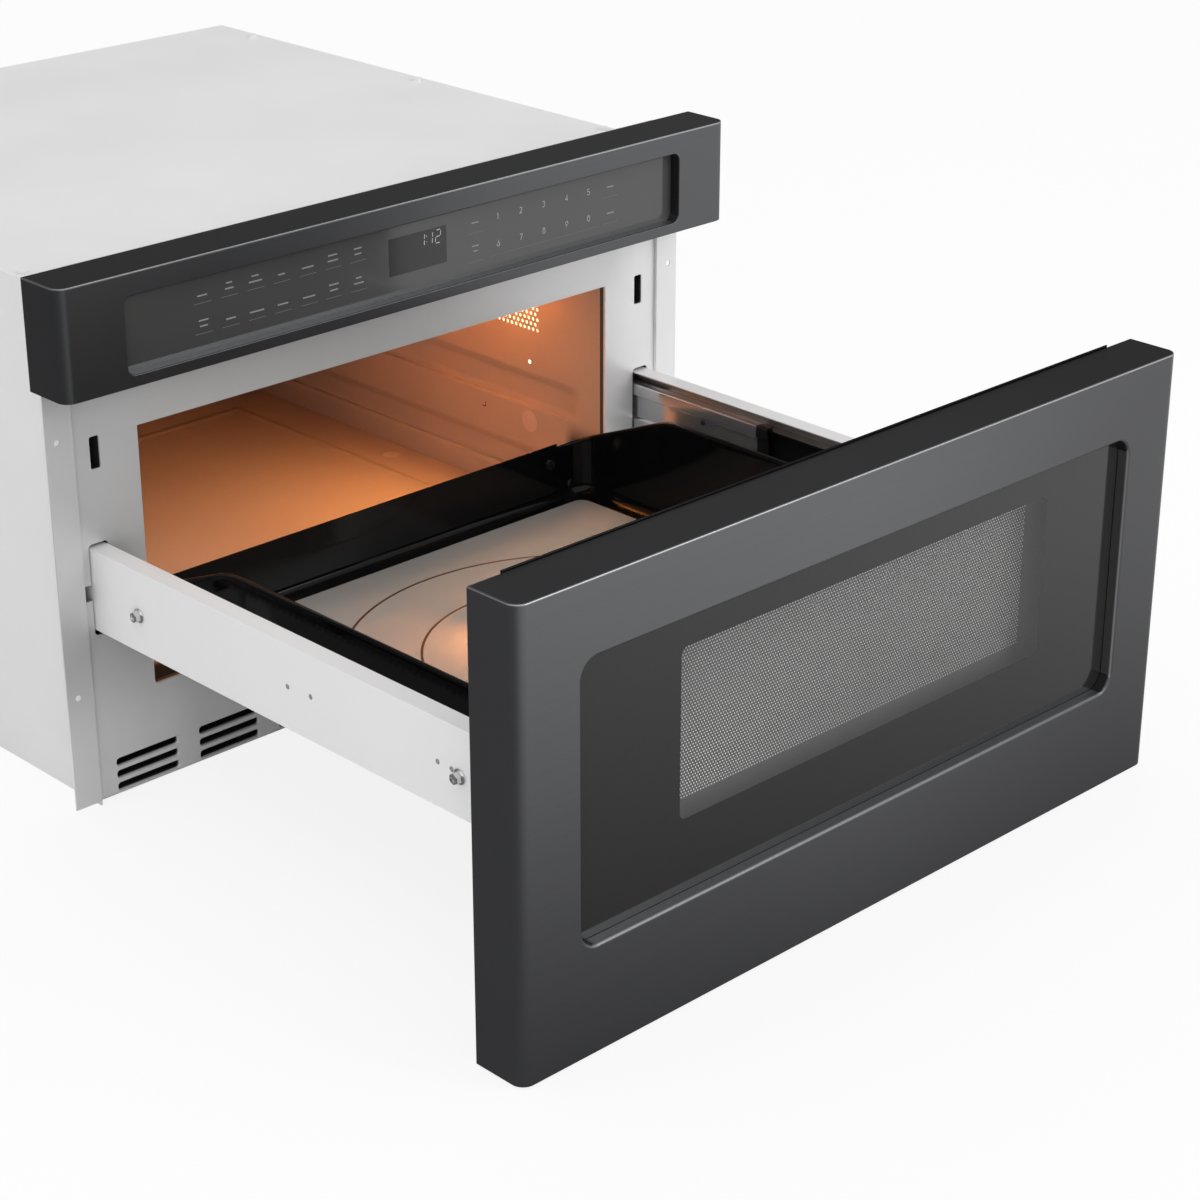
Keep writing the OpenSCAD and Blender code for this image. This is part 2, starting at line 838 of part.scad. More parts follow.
module cavity_shell() {
    well = well_w / 2;
    color(oven_grey) placed() difference() {
        union() {
            slab([-wall_x, wall_x], [shell_front, cav_back + cavity_t], [cav_floor - cavity_t, roof]);
            slab([-well - cavity_t, well + cavity_t], [well_y - well - cavity_t, well_y + well + cavity_t],
                [mouth_top, well_top]);
            both_sides() {
                band(upper_band_z, upper_band_h, [cav_x, wall_x + band_depth], cavity_t);
                band(lower_band_z, lower_band_h, [cav_x, wall_x + band_depth], cavity_t);
            }
        }
        slab([-cav_x, cav_x], [shell_front + cavity_t, cav_back], [cav_floor, mouth_top]);
        facing([shell_front - cut, shell_front + cavity_t + cut]) mouth_outline();
        slab([-well, well], [well_y - well, well_y + well], [mouth_top - cut, well_top - cavity_t]);
        both_sides() {
            band(upper_band_z, upper_band_h, [cav_x - cut, cav_x + band_depth], 0);
            band(lower_band_z, lower_band_h, [cav_x - cut, cav_x + band_depth], 0);
        }
        bar_z(coupling_r, 0, well_y, [well_top - 2 * cavity_t, well_top + cut]);
        for (row = [0 : lamp_rows - 1], col = [0 : lamp_cols - 1])
            bar_x(lamp_hole_d / 2, [cav_x - cut, wall_x + cut],
                lamp_y - lamp_win_d / 2 + (col + (row % 2) / 2) * lamp_pitch,
                lamp_z - lamp_win_h / 2 + (row + 1 / 2) * lamp_pitch * sin(60));
    }
}

module waveguide_cover() {
    reach = well_w / 2 + cover_margin;
    color(polymer) placed()
        slab([-reach, reach], [well_y - reach, well_y + reach], [mouth_top - sheet, mouth_top]);
}

module waveguide() {
    launch_front = guide_back - launch_d;
    color(zinc) placed() difference() {
        union() {
            slab([-guide_w / 2, guide_w / 2], [guide_front, guide_back], [well_top, well_top + guide_h]);
            slab([-guide_w / 2, guide_w / 2], [launch_front, guide_back], [well_top, well_top + launch_h]);
        }
        slab([guide_t - guide_w / 2, guide_w / 2 - guide_t], [guide_front + guide_t, guide_back - guide_t],
            [well_top + guide_t, well_top + guide_h - guide_t]);
        slab([guide_t - guide_w / 2, guide_w / 2 - guide_t], [launch_front + guide_t, guide_back - guide_t],
            [well_top + guide_t, well_top + launch_h - guide_t]);
        bar_z(coupling_r, 0, well_y, [well_top - cut, well_top + guide_t + cut]);
        bar_z(stirrer_shaft_r + guide_bore_gap, 0, well_y, [well_top + guide_h - 2 * guide_t, well_top + guide_h + cut]);
        bar_y(antenna_hole_r, 0, [guide_back - 2 * guide_t, guide_back + cut], magnetron_z);
    }
}

module magnetron() {
    yoke_back = guide_back + magnetron_d;
    color(zinc) placed() difference() {
        union() {
            slab([-magnetron_w / 2, magnetron_w / 2], [guide_back, yoke_back],
                [magnetron_z - magnetron_h / 2, magnetron_z + magnetron_h / 2]);
            slab([-filter_w / 2, filter_w / 2], [yoke_back, yoke_back + filter_d],
                [magnetron_z - filter_h / 2, magnetron_z + filter_h / 2]);
        }
        slab([-magnetron_w, magnetron_w], [guide_back + magnetron_t, yoke_back - magnetron_t],
            [magnetron_z - magnetron_h / 2 + magnetron_t, magnetron_z + magnetron_h / 2 - magnetron_t]);
        bar_y(antenna_hole_r, 0, [guide_back - cut, guide_back + 2 * magnetron_t], magnetron_z);
    }
}

module magnetron_fins() {
    anode_y = [guide_back + magnetron_t, guide_back + magnetron_d - magnetron_t];
    fin_x = magnetron_w / 2 - magnetron_t;
    fin_z = magnetron_h / 2 - 2 * magnetron_t;
    color(copper) placed() {
        bar_y(anode_r, 0, anode_y, magnetron_z);
        bar_y(antenna_r, 0, [anode_y[0] - antenna_len, anode_y[0]], magnetron_z);
        for (i = [1 : fin_count])
            let (y = anode_y[0] + (anode_y[1] - anode_y[0]) * i / (fin_count + 1))
            slab([-fin_x, fin_x], [y - fin_t / 2, y + fin_t / 2], [magnetron_z - fin_z, magnetron_z + fin_z]);
    }
}

module stirrer_motor() {
    seat_z = well_top + guide_h;
    color(black) placed() difference() {
        union() {
            bar_z(stirrer_motor_r, 0, well_y, [seat_z, seat_z + stirrer_motor_h]);
            slab([-guide_w / 2 + guide_t, guide_w / 2 - guide_t], [well_y - stirrer_hub_r, well_y + stirrer_hub_r],
                [seat_z, seat_z + guide_t]);
        }
        bar_z(stirrer_shaft_r + shaft_gap, 0, well_y, [seat_z - cut, seat_z + stirrer_shaft_in + fit]);
    }
}

module inverter_board() {
    board_z = roof + standoff_h;
    color(board_green) placed() {
        slab([board_x - board_w / 2, board_x + board_w / 2], [board_y - board_d / 2, board_y + board_d / 2],
            [board_z, board_z + board_t]);
        for (sx = [-1, 1], sy = [-1, 1])
            bar_z(standoff_r, max(board_x + sx * (board_w / 2 - standoff_edge), standoff_r - cav_x),
                board_y + sy * (board_d / 2 - standoff_edge), [roof, board_z]);
    }
}

// Ferrite core with its two coils between the core's legs
module inverter_transformer() {
    z0 = roof + standoff_h + board_t;
    cx = board_x - board_w / 4;
    window = core_w / 2 - core_leg / 2;
    color(black) placed() difference() {
        slab([cx - core_w / 2, cx + core_w / 2], [board_y - core_d / 2, board_y + core_d / 2], [z0, z0 + core_h]);
        for (side = [-1, 1])
            slab([cx + side * core_leg / 2, cx + side * (window - core_leg / 4)],
                [board_y - core_d, board_y + core_d], [z0 + core_leg / 2, z0 + core_h - core_leg / 2]);
    }
    color(copper) placed() difference() {
        slab([cx - window + core_leg / 4 + coil_gap, cx + window - core_leg / 4 - coil_gap],
            [board_y - core_d / 2 - core_leg / 2, board_y + core_d / 2 + core_leg / 2],
            [z0 + core_leg / 2 + coil_gap, z0 + core_h - core_leg / 2 - coil_gap]);
        slab([cx - core_leg / 2 - coil_gap, cx + core_leg / 2 + coil_gap],
            [board_y - core_d / 2 - coil_gap, board_y + core_d / 2 + coil_gap], [z0, z0 + core_h]);
    }
}

module inverter_heatsink() {
    z0 = roof + standoff_h + board_t;
    cx = board_x + board_w / 4;
    step = (sink_w - sink_fin_t) / (sink_fins - 1);
    color(zinc) placed() {
        slab([cx - sink_w / 2, cx + sink_w / 2], [board_y - sink_d / 2, board_y + sink_d / 2], [z0, z0 + sink_base]);
        for (i = [0 : sink_fins - 1])
            slab([cx - sink_w / 2 + i * step, cx - sink_w / 2 + i * step + sink_fin_t],
                [board_y - sink_d / 2, board_y + sink_d / 2], [z0, z0 + sink_h]);
    }
}

module fan_housing() {
    x0 = fan_x - fan_frame_d / 2;
    half = fan_frame / 2;
    color(black) placed() difference() {
        union() {
            slab([x0, x0 + fan_frame_d], [fan_y - half, fan_y + half], [fan_z - half, fan_z + half]);
            slab([x0, x0 + fan_frame_d], [fan_y - half, cav_back + cavity_t], [roof, fan_z - half]);
        }
        difference() {
            bar_x(fan_d / 2 + fan_gap, [x0 - cut, x0 + fan_frame_d + cut], fan_y, fan_z);
            bar_x(fan_boss_r, [x0 - cut, x0 + fan_plate_t], fan_y, fan_z);
            for (turn = [45, 135])
                translate([0, fan_y, fan_z]) rotate([turn, 0, 0])
                    slab([x0 - cut, x0 + fan_plate_t], [-fan_frame, fan_frame], [-fan_arm_w / 2, fan_arm_w / 2]);
        }
        bar_x(fan_shaft_r + shaft_gap, [x0 - cut, x0 + fan_plate_t + cut], fan_y, fan_z);
    }
}

module fan_motor() {
    x0 = fan_x - fan_frame_d / 2;
    color(zinc) placed() difference() {
        bar_x(fan_motor_r, [x0 - fan_motor_d, x0], fan_y, fan_z);
        bar_x(fan_shaft_r + shaft_gap, [x0 - fan_motor_d / 2 - fit, x0 + cut], fan_y, fan_z);
    }
}

module lamp_housing() {
    y = [lamp_y - lamp_win_d / 2 - lamp_margin, lamp_y + lamp_win_d / 2 + lamp_margin];
    z = [lamp_z - lamp_win_h / 2 - lamp_margin, lamp_z + lamp_win_h / 2 + lamp_margin];
    color(zinc) placed() difference() {
        slab([wall_x, wall_x + lamp_house_w], y, z);
        slab([wall_x - cut, wall_x + lamp_house_w - sheet], [y[0] + sheet, y[1] - sheet],
            [z[0] + sheet, z[1] - sheet]);
    }
}

module lamp_bulb() {
    x1 = wall_x + lamp_house_w - sheet;
    color("#ffd9a0") placed() translate([x1, lamp_y, lamp_z]) rotate([0, -90, 0]) rotate_extrude()
        intersection() {
            union() {
                square([bulb_base_r, bulb_len / 2]);
                translate([0, bulb_len / 2]) circle(bulb_r);
            }
            square([bulb_r, bulb_len]);
        }
}

module thermal_cutouts() {
    side_y = well_y + well_w / 2;
    roof_y = cav_back - 2 * cutout_r;
    roof_x = cav_x / 2;
    color(black) placed() {
        bar_x(cutout_r, [-wall_x - cutout_h, -wall_x], side_y, latch_z - latch_slot_h);
        bar_x(cutout_cap_r, [-wall_x - cutout_h - cutout_cap_h, -wall_x - cutout_h], side_y, latch_z - latch_slot_h);
        bar_z(cutout_r, roof_x, roof_y, [roof, roof + cutout_h]);
        bar_z(cutout_cap_r, roof_x, roof_y, [roof + cutout_h, roof + cutout_h + cutout_cap_h]);
    }
}

module power_inlet() {
    inner = case_back - sheet;
    color(black) placed() difference() {
        union() {
            bar_y(gland_r, gland_x, [case_back - gland_depth, case_back + gland_flange_t], gland_z);
            bar_y(gland_flange_r, gland_x, [case_back, case_back + gland_flange_t], gland_z);
            translate([gland_x, inner, gland_z]) rotate([90, 0, 0])
                cylinder(r = gland_flange_r, h = gland_nut_h, $fn = 6);
        }
        bar_y(gland_bore_r, gland_x, [case_back - gland_depth - cut, case_back + gland_flange_t + cut], gland_z);
    }
}

module panel_skin() {
    color(graphite) placed()
        front_shell([panel_front, 0], [panel_z, panel_top], panel_recess_x, panel_recess_z,
            panel_recess_r, [0, sheet]);
}

module panel_glass() {
    color(dark_glass) placed() facing([panel_glass_y, panel_glass_y + panel_glass_t])
        round_rect([-panel_recess_x - panel_glass_seat, panel_recess_x + panel_glass_seat],
            [panel_recess_z[0] - panel_glass_seat, panel_recess_z[1] + panel_glass_seat], panel_recess_r);
}

// Where the control board's studs stand
function stud_places() = [
    for (sx = [-1, 1], sz = [-1, 1])
        [sx * (control_board_w / 2 - control_stud_edge), display_z + sz * (control_board_h / 2 - control_stud_edge)]
];

module panel_chassis() {
    board_y0 = chassis_y + display_t;
    color(polymer) placed() {
        difference() {
            slab([-chassis_x, chassis_x], [chassis_y, plate_set], chassis_z);
            slab([chassis_t - chassis_x, chassis_x - chassis_t], [chassis_y + chassis_t, plate_set + cut],
                [chassis_z[0] + chassis_t, chassis_z[1] - chassis_t]);
            slab([-display_w / 2 - fit, display_w / 2 + fit], [chassis_y - cut, chassis_y + chassis_t + cut],
                [display_z - display_h / 2 - fit, display_z + display_h / 2 + fit]);
        }
        for (place = stud_places())
            bar_y(control_stud_r, place[0], [chassis_y + chassis_t, board_y0], place[1]);
    }
}

module display_module() {
    color(black) placed()
        slab([-display_w / 2, display_w / 2], [chassis_y, chassis_y + display_t],
            [display_z - display_h / 2, display_z + display_h / 2]);
}

module control_board() {
    board_y0 = chassis_y + display_t;
    color(board_green) placed()
        slab([-control_board_w / 2, control_board_w / 2], [board_y0, board_y0 + board_t],
            [display_z - control_board_h / 2, display_z + control_board_h / 2]);
}

// Fixed member of the right slide
module slide_channel() {
    channel([slide_x, slide_x + channel_flange], channel_y, [slide_z - slide_h / 2, slide_z + slide_h / 2], slide_t);
}

module slide_channel_left() {
    color(rail_grey) placed() left_side() slide_channel();
}

module slide_channel_right() {
    color(rail_grey) placed() slide_channel();
}

module slide_brackets() {
    low = slide_z - slide_h / 2;
    high = slide_z + slide_h / 2;
    color(zinc) placed() both_sides() for (y = bracket_places)
        let (length = [y - bracket_len / 2, y + bracket_len / 2]) {
            channel([slide_x, wall_x], length, [low, high], sheet);
            slab([wall_x, wall_x + sheet], length, [low - bracket_foot, low + sheet]);
            slab([wall_x, wall_x + sheet], length, [high - sheet, high + bracket_foot]);
        }
}

module drive_motor() {
    plate_y = [motor_y - motor_plate_w / 2, motor_y + motor_plate_w / 2];
    color(zinc) placed() difference() {
        union() {
            bar_x(motor_r, [motor_x, motor_x + motor_len], motor_y, shaft_z);
            slab([motor_x, motor_x + motor_plate_t], plate_y, [sheet, shaft_z + motor_r]);
            slab([motor_x, motor_x + motor_foot], plate_y, [sheet, sheet + motor_plate_t]);
        }
        bar_x(motor_shaft_r + shaft_gap, [motor_x - cut, motor_x + motor_shaft_in + fit], motor_y, shaft_z);
    }
}

module gear_plates() {
    x0 = gear_plate_x;
    x1 = gear_plate_x + gear_plate_t;
    clip_x = gear_x[1] + fit;
    color(zinc) placed() both_sides() difference() {
        union() {
            slab([x0, x1], gear_plate_y, [sheet, idler_z + gear_plate_top]);
            slab([x1 - gear_foot_w, x1], gear_plate_y, [sheet, sheet + gear_plate_t]);
            bar_x(stud_boss_r, [x1, gear_x[0] - fit], gear_y, idler_z);
            bar_x(stud_r, [x1, clip_x + stud_clip_t], gear_y, idler_z);
            bar_x(stud_clip_r, [clip_x, clip_x + stud_clip_t], gear_y, idler_z);
        }
        bar_x(shaft_r + shaft_gap, [x0 - cut, x1 + cut], gear_y, shaft_z);
    }
}

module latch_switches() {
    half_w = latch_slot_w / 2;
    half_h = latch_slot_h / 2;
    stop_y = inner_back + hook_len + fit;
    color(polymer) placed() both_sides() difference() {
        slab([latch_x - half_w - guide_wall, latch_x + half_w + guide_wall], [plate_back, stop_y + switch_d],
            [latch_z - half_h - guide_wall, latch_z + half_h + guide_wall]);
        slab([latch_x - half_w, latch_x + half_w], [plate_back - cut, stop_y], [latch_z - half_h, latch_z + half_h]);
    }
}

module case_screws() {
    inner_y = case_back - case_screw_len;
    inner_z = case_h - case_screw_len;
    color(zinc) placed() both_sides() {
        for (z = case_screw_z) {
            bar_y(case_screw_head_r, case_screw_x, [case_back, case_back + case_screw_head_h], z);
            bar_y(case_screw_r, case_screw_x, [inner_y, case_back], z);
        }
        for (y = case_screw_y) {
            bar_z(case_screw_head_r, case_screw_x, y, [case_h, case_h + case_screw_head_h]);
            bar_z(case_screw_r, case_screw_x, y, [inner_z, case_h]);
        }
    }
}

// Drawer

module door_skin() {
    color(graphite) opened()
        front_shell([door_front, door_back], [door_z, door_top], door_recess_x, door_recess_z,
            door_recess_r, door_lip);
}

module door_glass() {
    y0 = door_front + recess_d;
    color(dark_glass) opened() facing([y0, y0 + door_glass_t])
        round_rect([-door_recess_x - glass_seat, door_recess_x + glass_seat],
            [door_recess_z[0] - glass_seat, door_recess_z[1] + glass_seat], door_recess_r);
}

module window_screen() {
    screen_back = door_back - screen_depth;
    color(black) opened()
        slab([-screen_x - screen_seat, screen_x + screen_seat], [screen_back - screen_t, screen_back],
            [screen_z[0] - screen_seat, screen_z[1] + screen_seat]);
}

module door_inner_panel() {
    screen_back = door_back - screen_depth;
    color(enamel) opened() difference() {
        union() {
            slab([-inner_panel_x, inner_panel_x], [door_back, inner_back], inner_panel_z);
            slab([-screen_x - collar_t, screen_x + collar_t], [screen_back, door_back],
                [screen_z[0] - collar_t, screen_z[1] + collar_t]);
        }
        slab([-screen_x, screen_x], [screen_back - cut, inner_back + cut], screen_z);
    }
}

module inner_window() {
    screen_back = door_back - screen_depth;
    color(dark_glass) opened()
        slab([fit - screen_x, screen_x - fit], [screen_back, screen_back + inner_window_t],
            [screen_z[0] + fit, screen_z[1] - fit]);
}

module choke_cover() {
    color(black) opened() facing([inner_back, plate_set - choke_air]) difference() {
        round_rect([-choke_out_x, choke_out_x], choke_out_z, choke_r);
        round_rect([-choke_in_x, choke_in_x], choke_in_z, choke_r);
    }
}

module door_brackets() {
    color(zinc) opened() both_sides() {
        slab([rail_x - door_bracket_w, rail_x], [inner_back, inner_back + door_bracket_t], door_bracket_z);
        slab([rail_x - door_bracket_t, rail_x], [inner_back, inner_back + door_bracket_d], door_bracket_z);
    }
}

// Right rail: web outside, flange on top
module rail() {
    difference() {
        union() {
            slab([rail_x, rail_out], rail_y, [rail_z, rail_top]);
            slab([rail_in, rail_out], rail_y, [rail_top - sheet, rail_top]);
        }
        for (y = bolt_y)
            bar_x(bolt_shank_r + hole_fit, [rail_x - cut, rail_out + cut], y, bolt_z);
    }
}

module rail_left() {
    color(rail_grey) opened() left_side() rail();
}

module rail_right() {
    color(rail_grey) opened() rail();
}

// Drawer member of the right slide
module slide_inner() {
    difference() {
        channel([rail_x, rail_x - inner_flange], inner_y_ends, [slide_z - inner_h / 2, slide_z + inner_h / 2],
            slide_t);
        for (y = bolt_y)
            bar_x(bolt_shank_r + hole_fit, [rail_x - slide_t - cut, rail_x + cut], y, bolt_z);
    }
}

module slide_inner_left() {
    color(rail_grey) opened() left_side() slide_inner();
}

module slide_inner_right() {
    color(rail_grey) opened() slide_inner();
}

// Right rack: teeth point down, and a gap stands over the idler gear with the drawer open
module rack() {
    half = rack_pitch / 4 * tooth_share;
    tip_z = rack_pitch_z - rack_m * addendum_share;
    root_z = rack_pitch_z + rack_m * dedendum_share;
    lean = tan(pressure_angle);
    mesh_y = gear_y + travel;
    first = ceil((rack_y[0] - mesh_y) / rack_pitch);
    last = floor((rack_y[1] - mesh_y) / rack_pitch) - 1;
    across([rail_x - rack_w, rail_x]) {
        translate([rack_y[0], root_z]) square([rack_y[1] - rack_y[0], tip_z + rack_h - root_z]);
        for (i = [first : last])
            let (y = mesh_y + (i + 1 / 2) * rack_pitch)
            polygon([
                [y - half - (root_z - rack_pitch_z) * lean, root_z],
                [y - half + (rack_pitch_z - tip_z) * lean, tip_z],
                [y + half - (rack_pitch_z - tip_z) * lean, tip_z],
                [y + half + (root_z - rack_pitch_z) * lean, root_z]
            ]);
    }
}

module rack_left() {
    color(polymer) opened() left_side() rack();
}

module rack_right() {
    color(polymer) opened() rack();
}

// Side view of the tray, whose top edge falls toward the back
module tray_outline() {
    fall_y = tray_back - tray_fall;
    arc = [for (a = [0 : tray_slope / 6 : tray_slope])
        [fall_y + tray_fall_r * sin(a), tray_top - tray_fall_r * (1 - cos(a))]];
    end = arc[len(arc) - 1];
    back_z = end[1] - (tray_back - end[0]) * tan(tray_slope);
    polygon(concat([[tray_back, back_z], [tray_back, tray_z], [inner_back, tray_z], [inner_back, tray_top]], arc));
}

module tray() {
    wall = cav_x - tray_gap;
    inside = wall - tray_t;
    border_top = tray_z + tray_t + ledge_h + plate_t;
    pan_y = [inner_back + tray_t, tray_back - tray_t];
    plate_x = inside - plate_border + fit;
    plate_y = [pan_y[0] + plate_border - fit, pan_y[1] - plate_border + fit];
    color(enamel) opened() difference() {
        union() {
            across([-wall, wall]) tray_outline();
            both_sides() across([wall, wall + tray_rim]) difference() {
                tray_outline();
                translate([0, -tray_t]) tray_outline();
            }
        }
        slab([-inside, inside], pan_y, [border_top, tray_top + cut]);
        slab([-plate_x, plate_x], plate_y, [tray_z + tray_t + ledge_h, border_top + cut]);
        slab([ledge_w - plate_x, plate_x - ledge_w], [plate_y[0] + ledge_w, plate_y[1] - ledge_w],
            [tray_z + tray_t, border_top]);
        tray_screw_holes();
    }
}

module tray_plate() {
    inside = cav_x - tray_gap - tray_t - plate_border;
    z0 = tray_z + tray_t + ledge_h;
    color(plate_tone) opened() translate([0, 0, z0]) linear_extrude(plate_t)
        round_rect([-inside, inside],
            [inner_back + tray_t + plate_border, tray_back - tray_t - plate_border], pocket_r);
}

module tray_back_panel() {
    wall_y = tray_back - tray_t;
    border_top = tray_z + tray_t + ledge_h + plate_t;
    color(enamel) opened() difference() {
        slab([tray_gap + tray_t + fit - cav_x, cav_x - tray_gap - back_panel_short], [wall_y - sheet, wall_y],
            [border_top, tray_z + back_panel_top]);
        tray_screw_holes();
    }
}

// Screw places on the pan's back wall; the last value is 1 where the back panel lies under the head
function tray_screw_places() =
    let (upper = cav_x - tray_gap - upper_screw_set, lower = cav_x - tray_gap - lower_screw_set)
    [[upper, upper_screw_z, 1], [-upper, upper_screw_z, 1], [lower, lower_screw_z, 0], [-lower, lower_screw_z, 1]];

module tray_screw_holes() {
    for (place = tray_screw_places())
        bar_y(tray_screw_r + hole_fit, place[0], [tray_back - 3 * tray_t, tray_back + cut], tray_z + place[1]);
}

module tray_screws() {
    color(zinc) opened() for (place = tray_screw_places())
        let (seat = tray_back - tray_t - place[2] * sheet) {
            bar_y(tray_screw_head_r, place[0], [seat - tray_screw_head_h, seat], tray_z + place[1]);
            bar_y(tray_screw_r, place[0], [seat, seat + tray_screw_len], tray_z + place[1]);
        }
}

module latch_hooks() {
    tip = inner_back + hook_len;
    notch = [tip - hook_nose - hook_notch_d, tip - hook_nose];
    color(zinc) opened() both_sides() difference() {
        slab([latch_x - hook_w / 2, latch_x + hook_w / 2], [inner_back, tip],
            [latch_z - hook_h / 2, latch_z + hook_h / 2]);
        slab([latch_x - hook_w, latch_x + hook_w], notch,
            [latch_z + hook_h / 2 - hook_notch_h, latch_z + hook_h / 2 + cut]);
    }
}

module rail_bolts() {
    flange = rail_out + bolt_flange_t;
    color(zinc) opened() both_sides() for (y = bolt_y) {
        bar_x(bolt_flange_r, [rail_out, flange], y, bolt_z);
        translate([flange, y, bolt_z]) rotate([0, 90, 0]) cylinder(r = bolt_hex_r, h = bolt_hex_h, $fn = 6);
        bar_x(bolt_shank_r, [rail_x - bolt_shank_len, rail_out], y, bolt_z);
    }
}

// Moving pieces

// Middle member of the right slide, with its end stop
module slide_mid() {
    x0 = slide_x + mid_set;
    top = slide_z + mid_h / 2;
    channel([x0, x0 + mid_flange], mid_y_ends, [slide_z - mid_h / 2, top], slide_t);
    slab([x0 + slide_t, x0 + slide_t + mid_cap_t], [mid_y_ends[0], mid_y_ends[0] + mid_cap_len],
        [top - mid_cap_h, top - slide_t]);
}

module slide_mid_left() {
    color(rail_grey) opened(1 / 2) left_side() slide_mid();
}

module slide_mid_right() {
    color(rail_grey) opened(1 / 2) slide_mid();
}

// Right idler gear: a tooth stands up into the rack
module idler_gear() {
    difference() {
        gear_x_axis(rack_m, idler_teeth, gear_x, gear_y, idler_z, 90);
        bar_x(stud_r + shaft_gap, [gear_x[0] - cut, gear_x[1] + cut], gear_y, idler_z);
    }
}

module idler_gear_left() {
    color(polymer) placed() left_side() idler_gear();
}

module idler_gear_right() {
    color(polymer) placed() idler_gear();
}

// Cross shaft with a pinion at each end and the driven gear between
module drive_shaft() {
    half_turn = 180 / pinion_teeth;
    color(zinc) placed() {
        bar_x(shaft_r, [-gear_x[1], gear_x[1]], gear_y, shaft_z);
        both_sides() gear_x_axis(rack_m, pinion_teeth, gear_x, gear_y, shaft_z, 90 + half_turn);
        gear_x_axis(motor_m, driven_teeth, motor_gear_x, gear_y, shaft_z);
        bar_x(hub_r, [motor_gear_x[0] - hub_r / 2, motor_gear_x[0]], gear_y, shaft_z);
    }
}

module motor_pinion() {
    color(zinc) placed() {
        gear_x_axis(motor_m, motor_teeth, motor_gear_x, motor_y, shaft_z, 180 + 180 / motor_teeth);
        bar_x(motor_shaft_r, [motor_gear_x[0], motor_x + motor_shaft_in], motor_y, shaft_z);
    }
}

module fan_wheel() {
    x0 = fan_x - fan_frame_d / 2;
    hub_x = [x0 + fan_plate_t + fit, x0 + fan_plate_t + fit + fan_hub_d];
    color(polymer) placed() {
        bar_x(fan_hub_r, hub_x, fan_y, fan_z);
        bar_x(fan_shaft_r, [x0 - fan_motor_d / 2, hub_x[0]], fan_y, fan_z);
        intersection() {
            bar_x(fan_d / 2, hub_x, fan_y, fan_z);
            translate([(hub_x[0] + hub_x[1]) / 2, fan_y, fan_z]) for (i = [0 : fan_blades - 1])
                rotate([360 * i / fan_blades, 0, 0]) rotate([0, 0, fan_blade_deg])
                    slab([-fan_blade_t / 2, fan_blade_t / 2], [-fan_blade_w / 2, fan_blade_w / 2], [0, fan_d]);
        }
    }
}

module stirrer() {
    blade_z = mouth_top + stirrer_lift;
    shaft_top = well_top + guide_h + stirrer_shaft_in;
    color(zinc) placed() {
        bar_z(stirrer_hub_r, 0, well_y, [blade_z, blade_z + 2 * stirrer_blade_t]);
        bar_z(stirrer_shaft_r, 0, well_y, [blade_z, shaft_top]);
        intersection() {
            bar_z(stirrer_d / 2, 0, well_y, [blade_z, blade_z + stirrer_blade_t]);
            translate([0, well_y, blade_z]) for (i = [0 : stirrer_blades - 1])
                rotate([0, 0, 360 * i / stirrer_blades])
                    slab([0, stirrer_d], [-stirrer_blade_w / 2, stirrer_blade_w / 2], [0, stirrer_blade_t]);
        }
    }
}

front_plate();
side_panel_left();
side_panel_right();
top_panel();
base_plate();
rear_panel();
cavity_shell();
waveguide_cover();
waveguide();
magnetron();
magnetron_fins();
stirrer_motor();
inverter_board();
inverter_transformer();
inverter_heatsink();
fan_housing();
fan_motor();
lamp_bulb();
lamp_housing();
thermal_cutouts();
power_inlet();
panel_skin();
panel_chassis();
panel_glass();
display_module();
control_board();
slide_channel_left();
slide_channel_right();
slide_brackets();
drive_motor();
gear_plates();
latch_switches();
case_screws();
door_skin();
door_glass();
window_screen();
door_inner_panel();
inner_window();
choke_cover();
door_brackets();
rail_left();
rail_right();
slide_inner_left();
slide_inner_right();
rack_left();
rack_right();
tray();
tray_plate();
tray_back_panel();
latch_hooks();
rail_bolts();
tray_screws();
slide_mid_left();
slide_mid_right();
idler_gear_left();
idler_gear_right();
drive_shaft();
motor_pinion();
fan_wheel();
stirrer();
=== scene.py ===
# %% [markdown]
# # A microwave drawer, dressed for the studio
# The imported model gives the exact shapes: a steel case with a control panel, and a drawer whose dark front,
# rails and black pan slide out together. This notebook loads that model as a fixed frame and never moves it.
# Each cell adds one finish or one piece, so every step can be run and looked at by itself.

# %% Load the frame
import json
import math

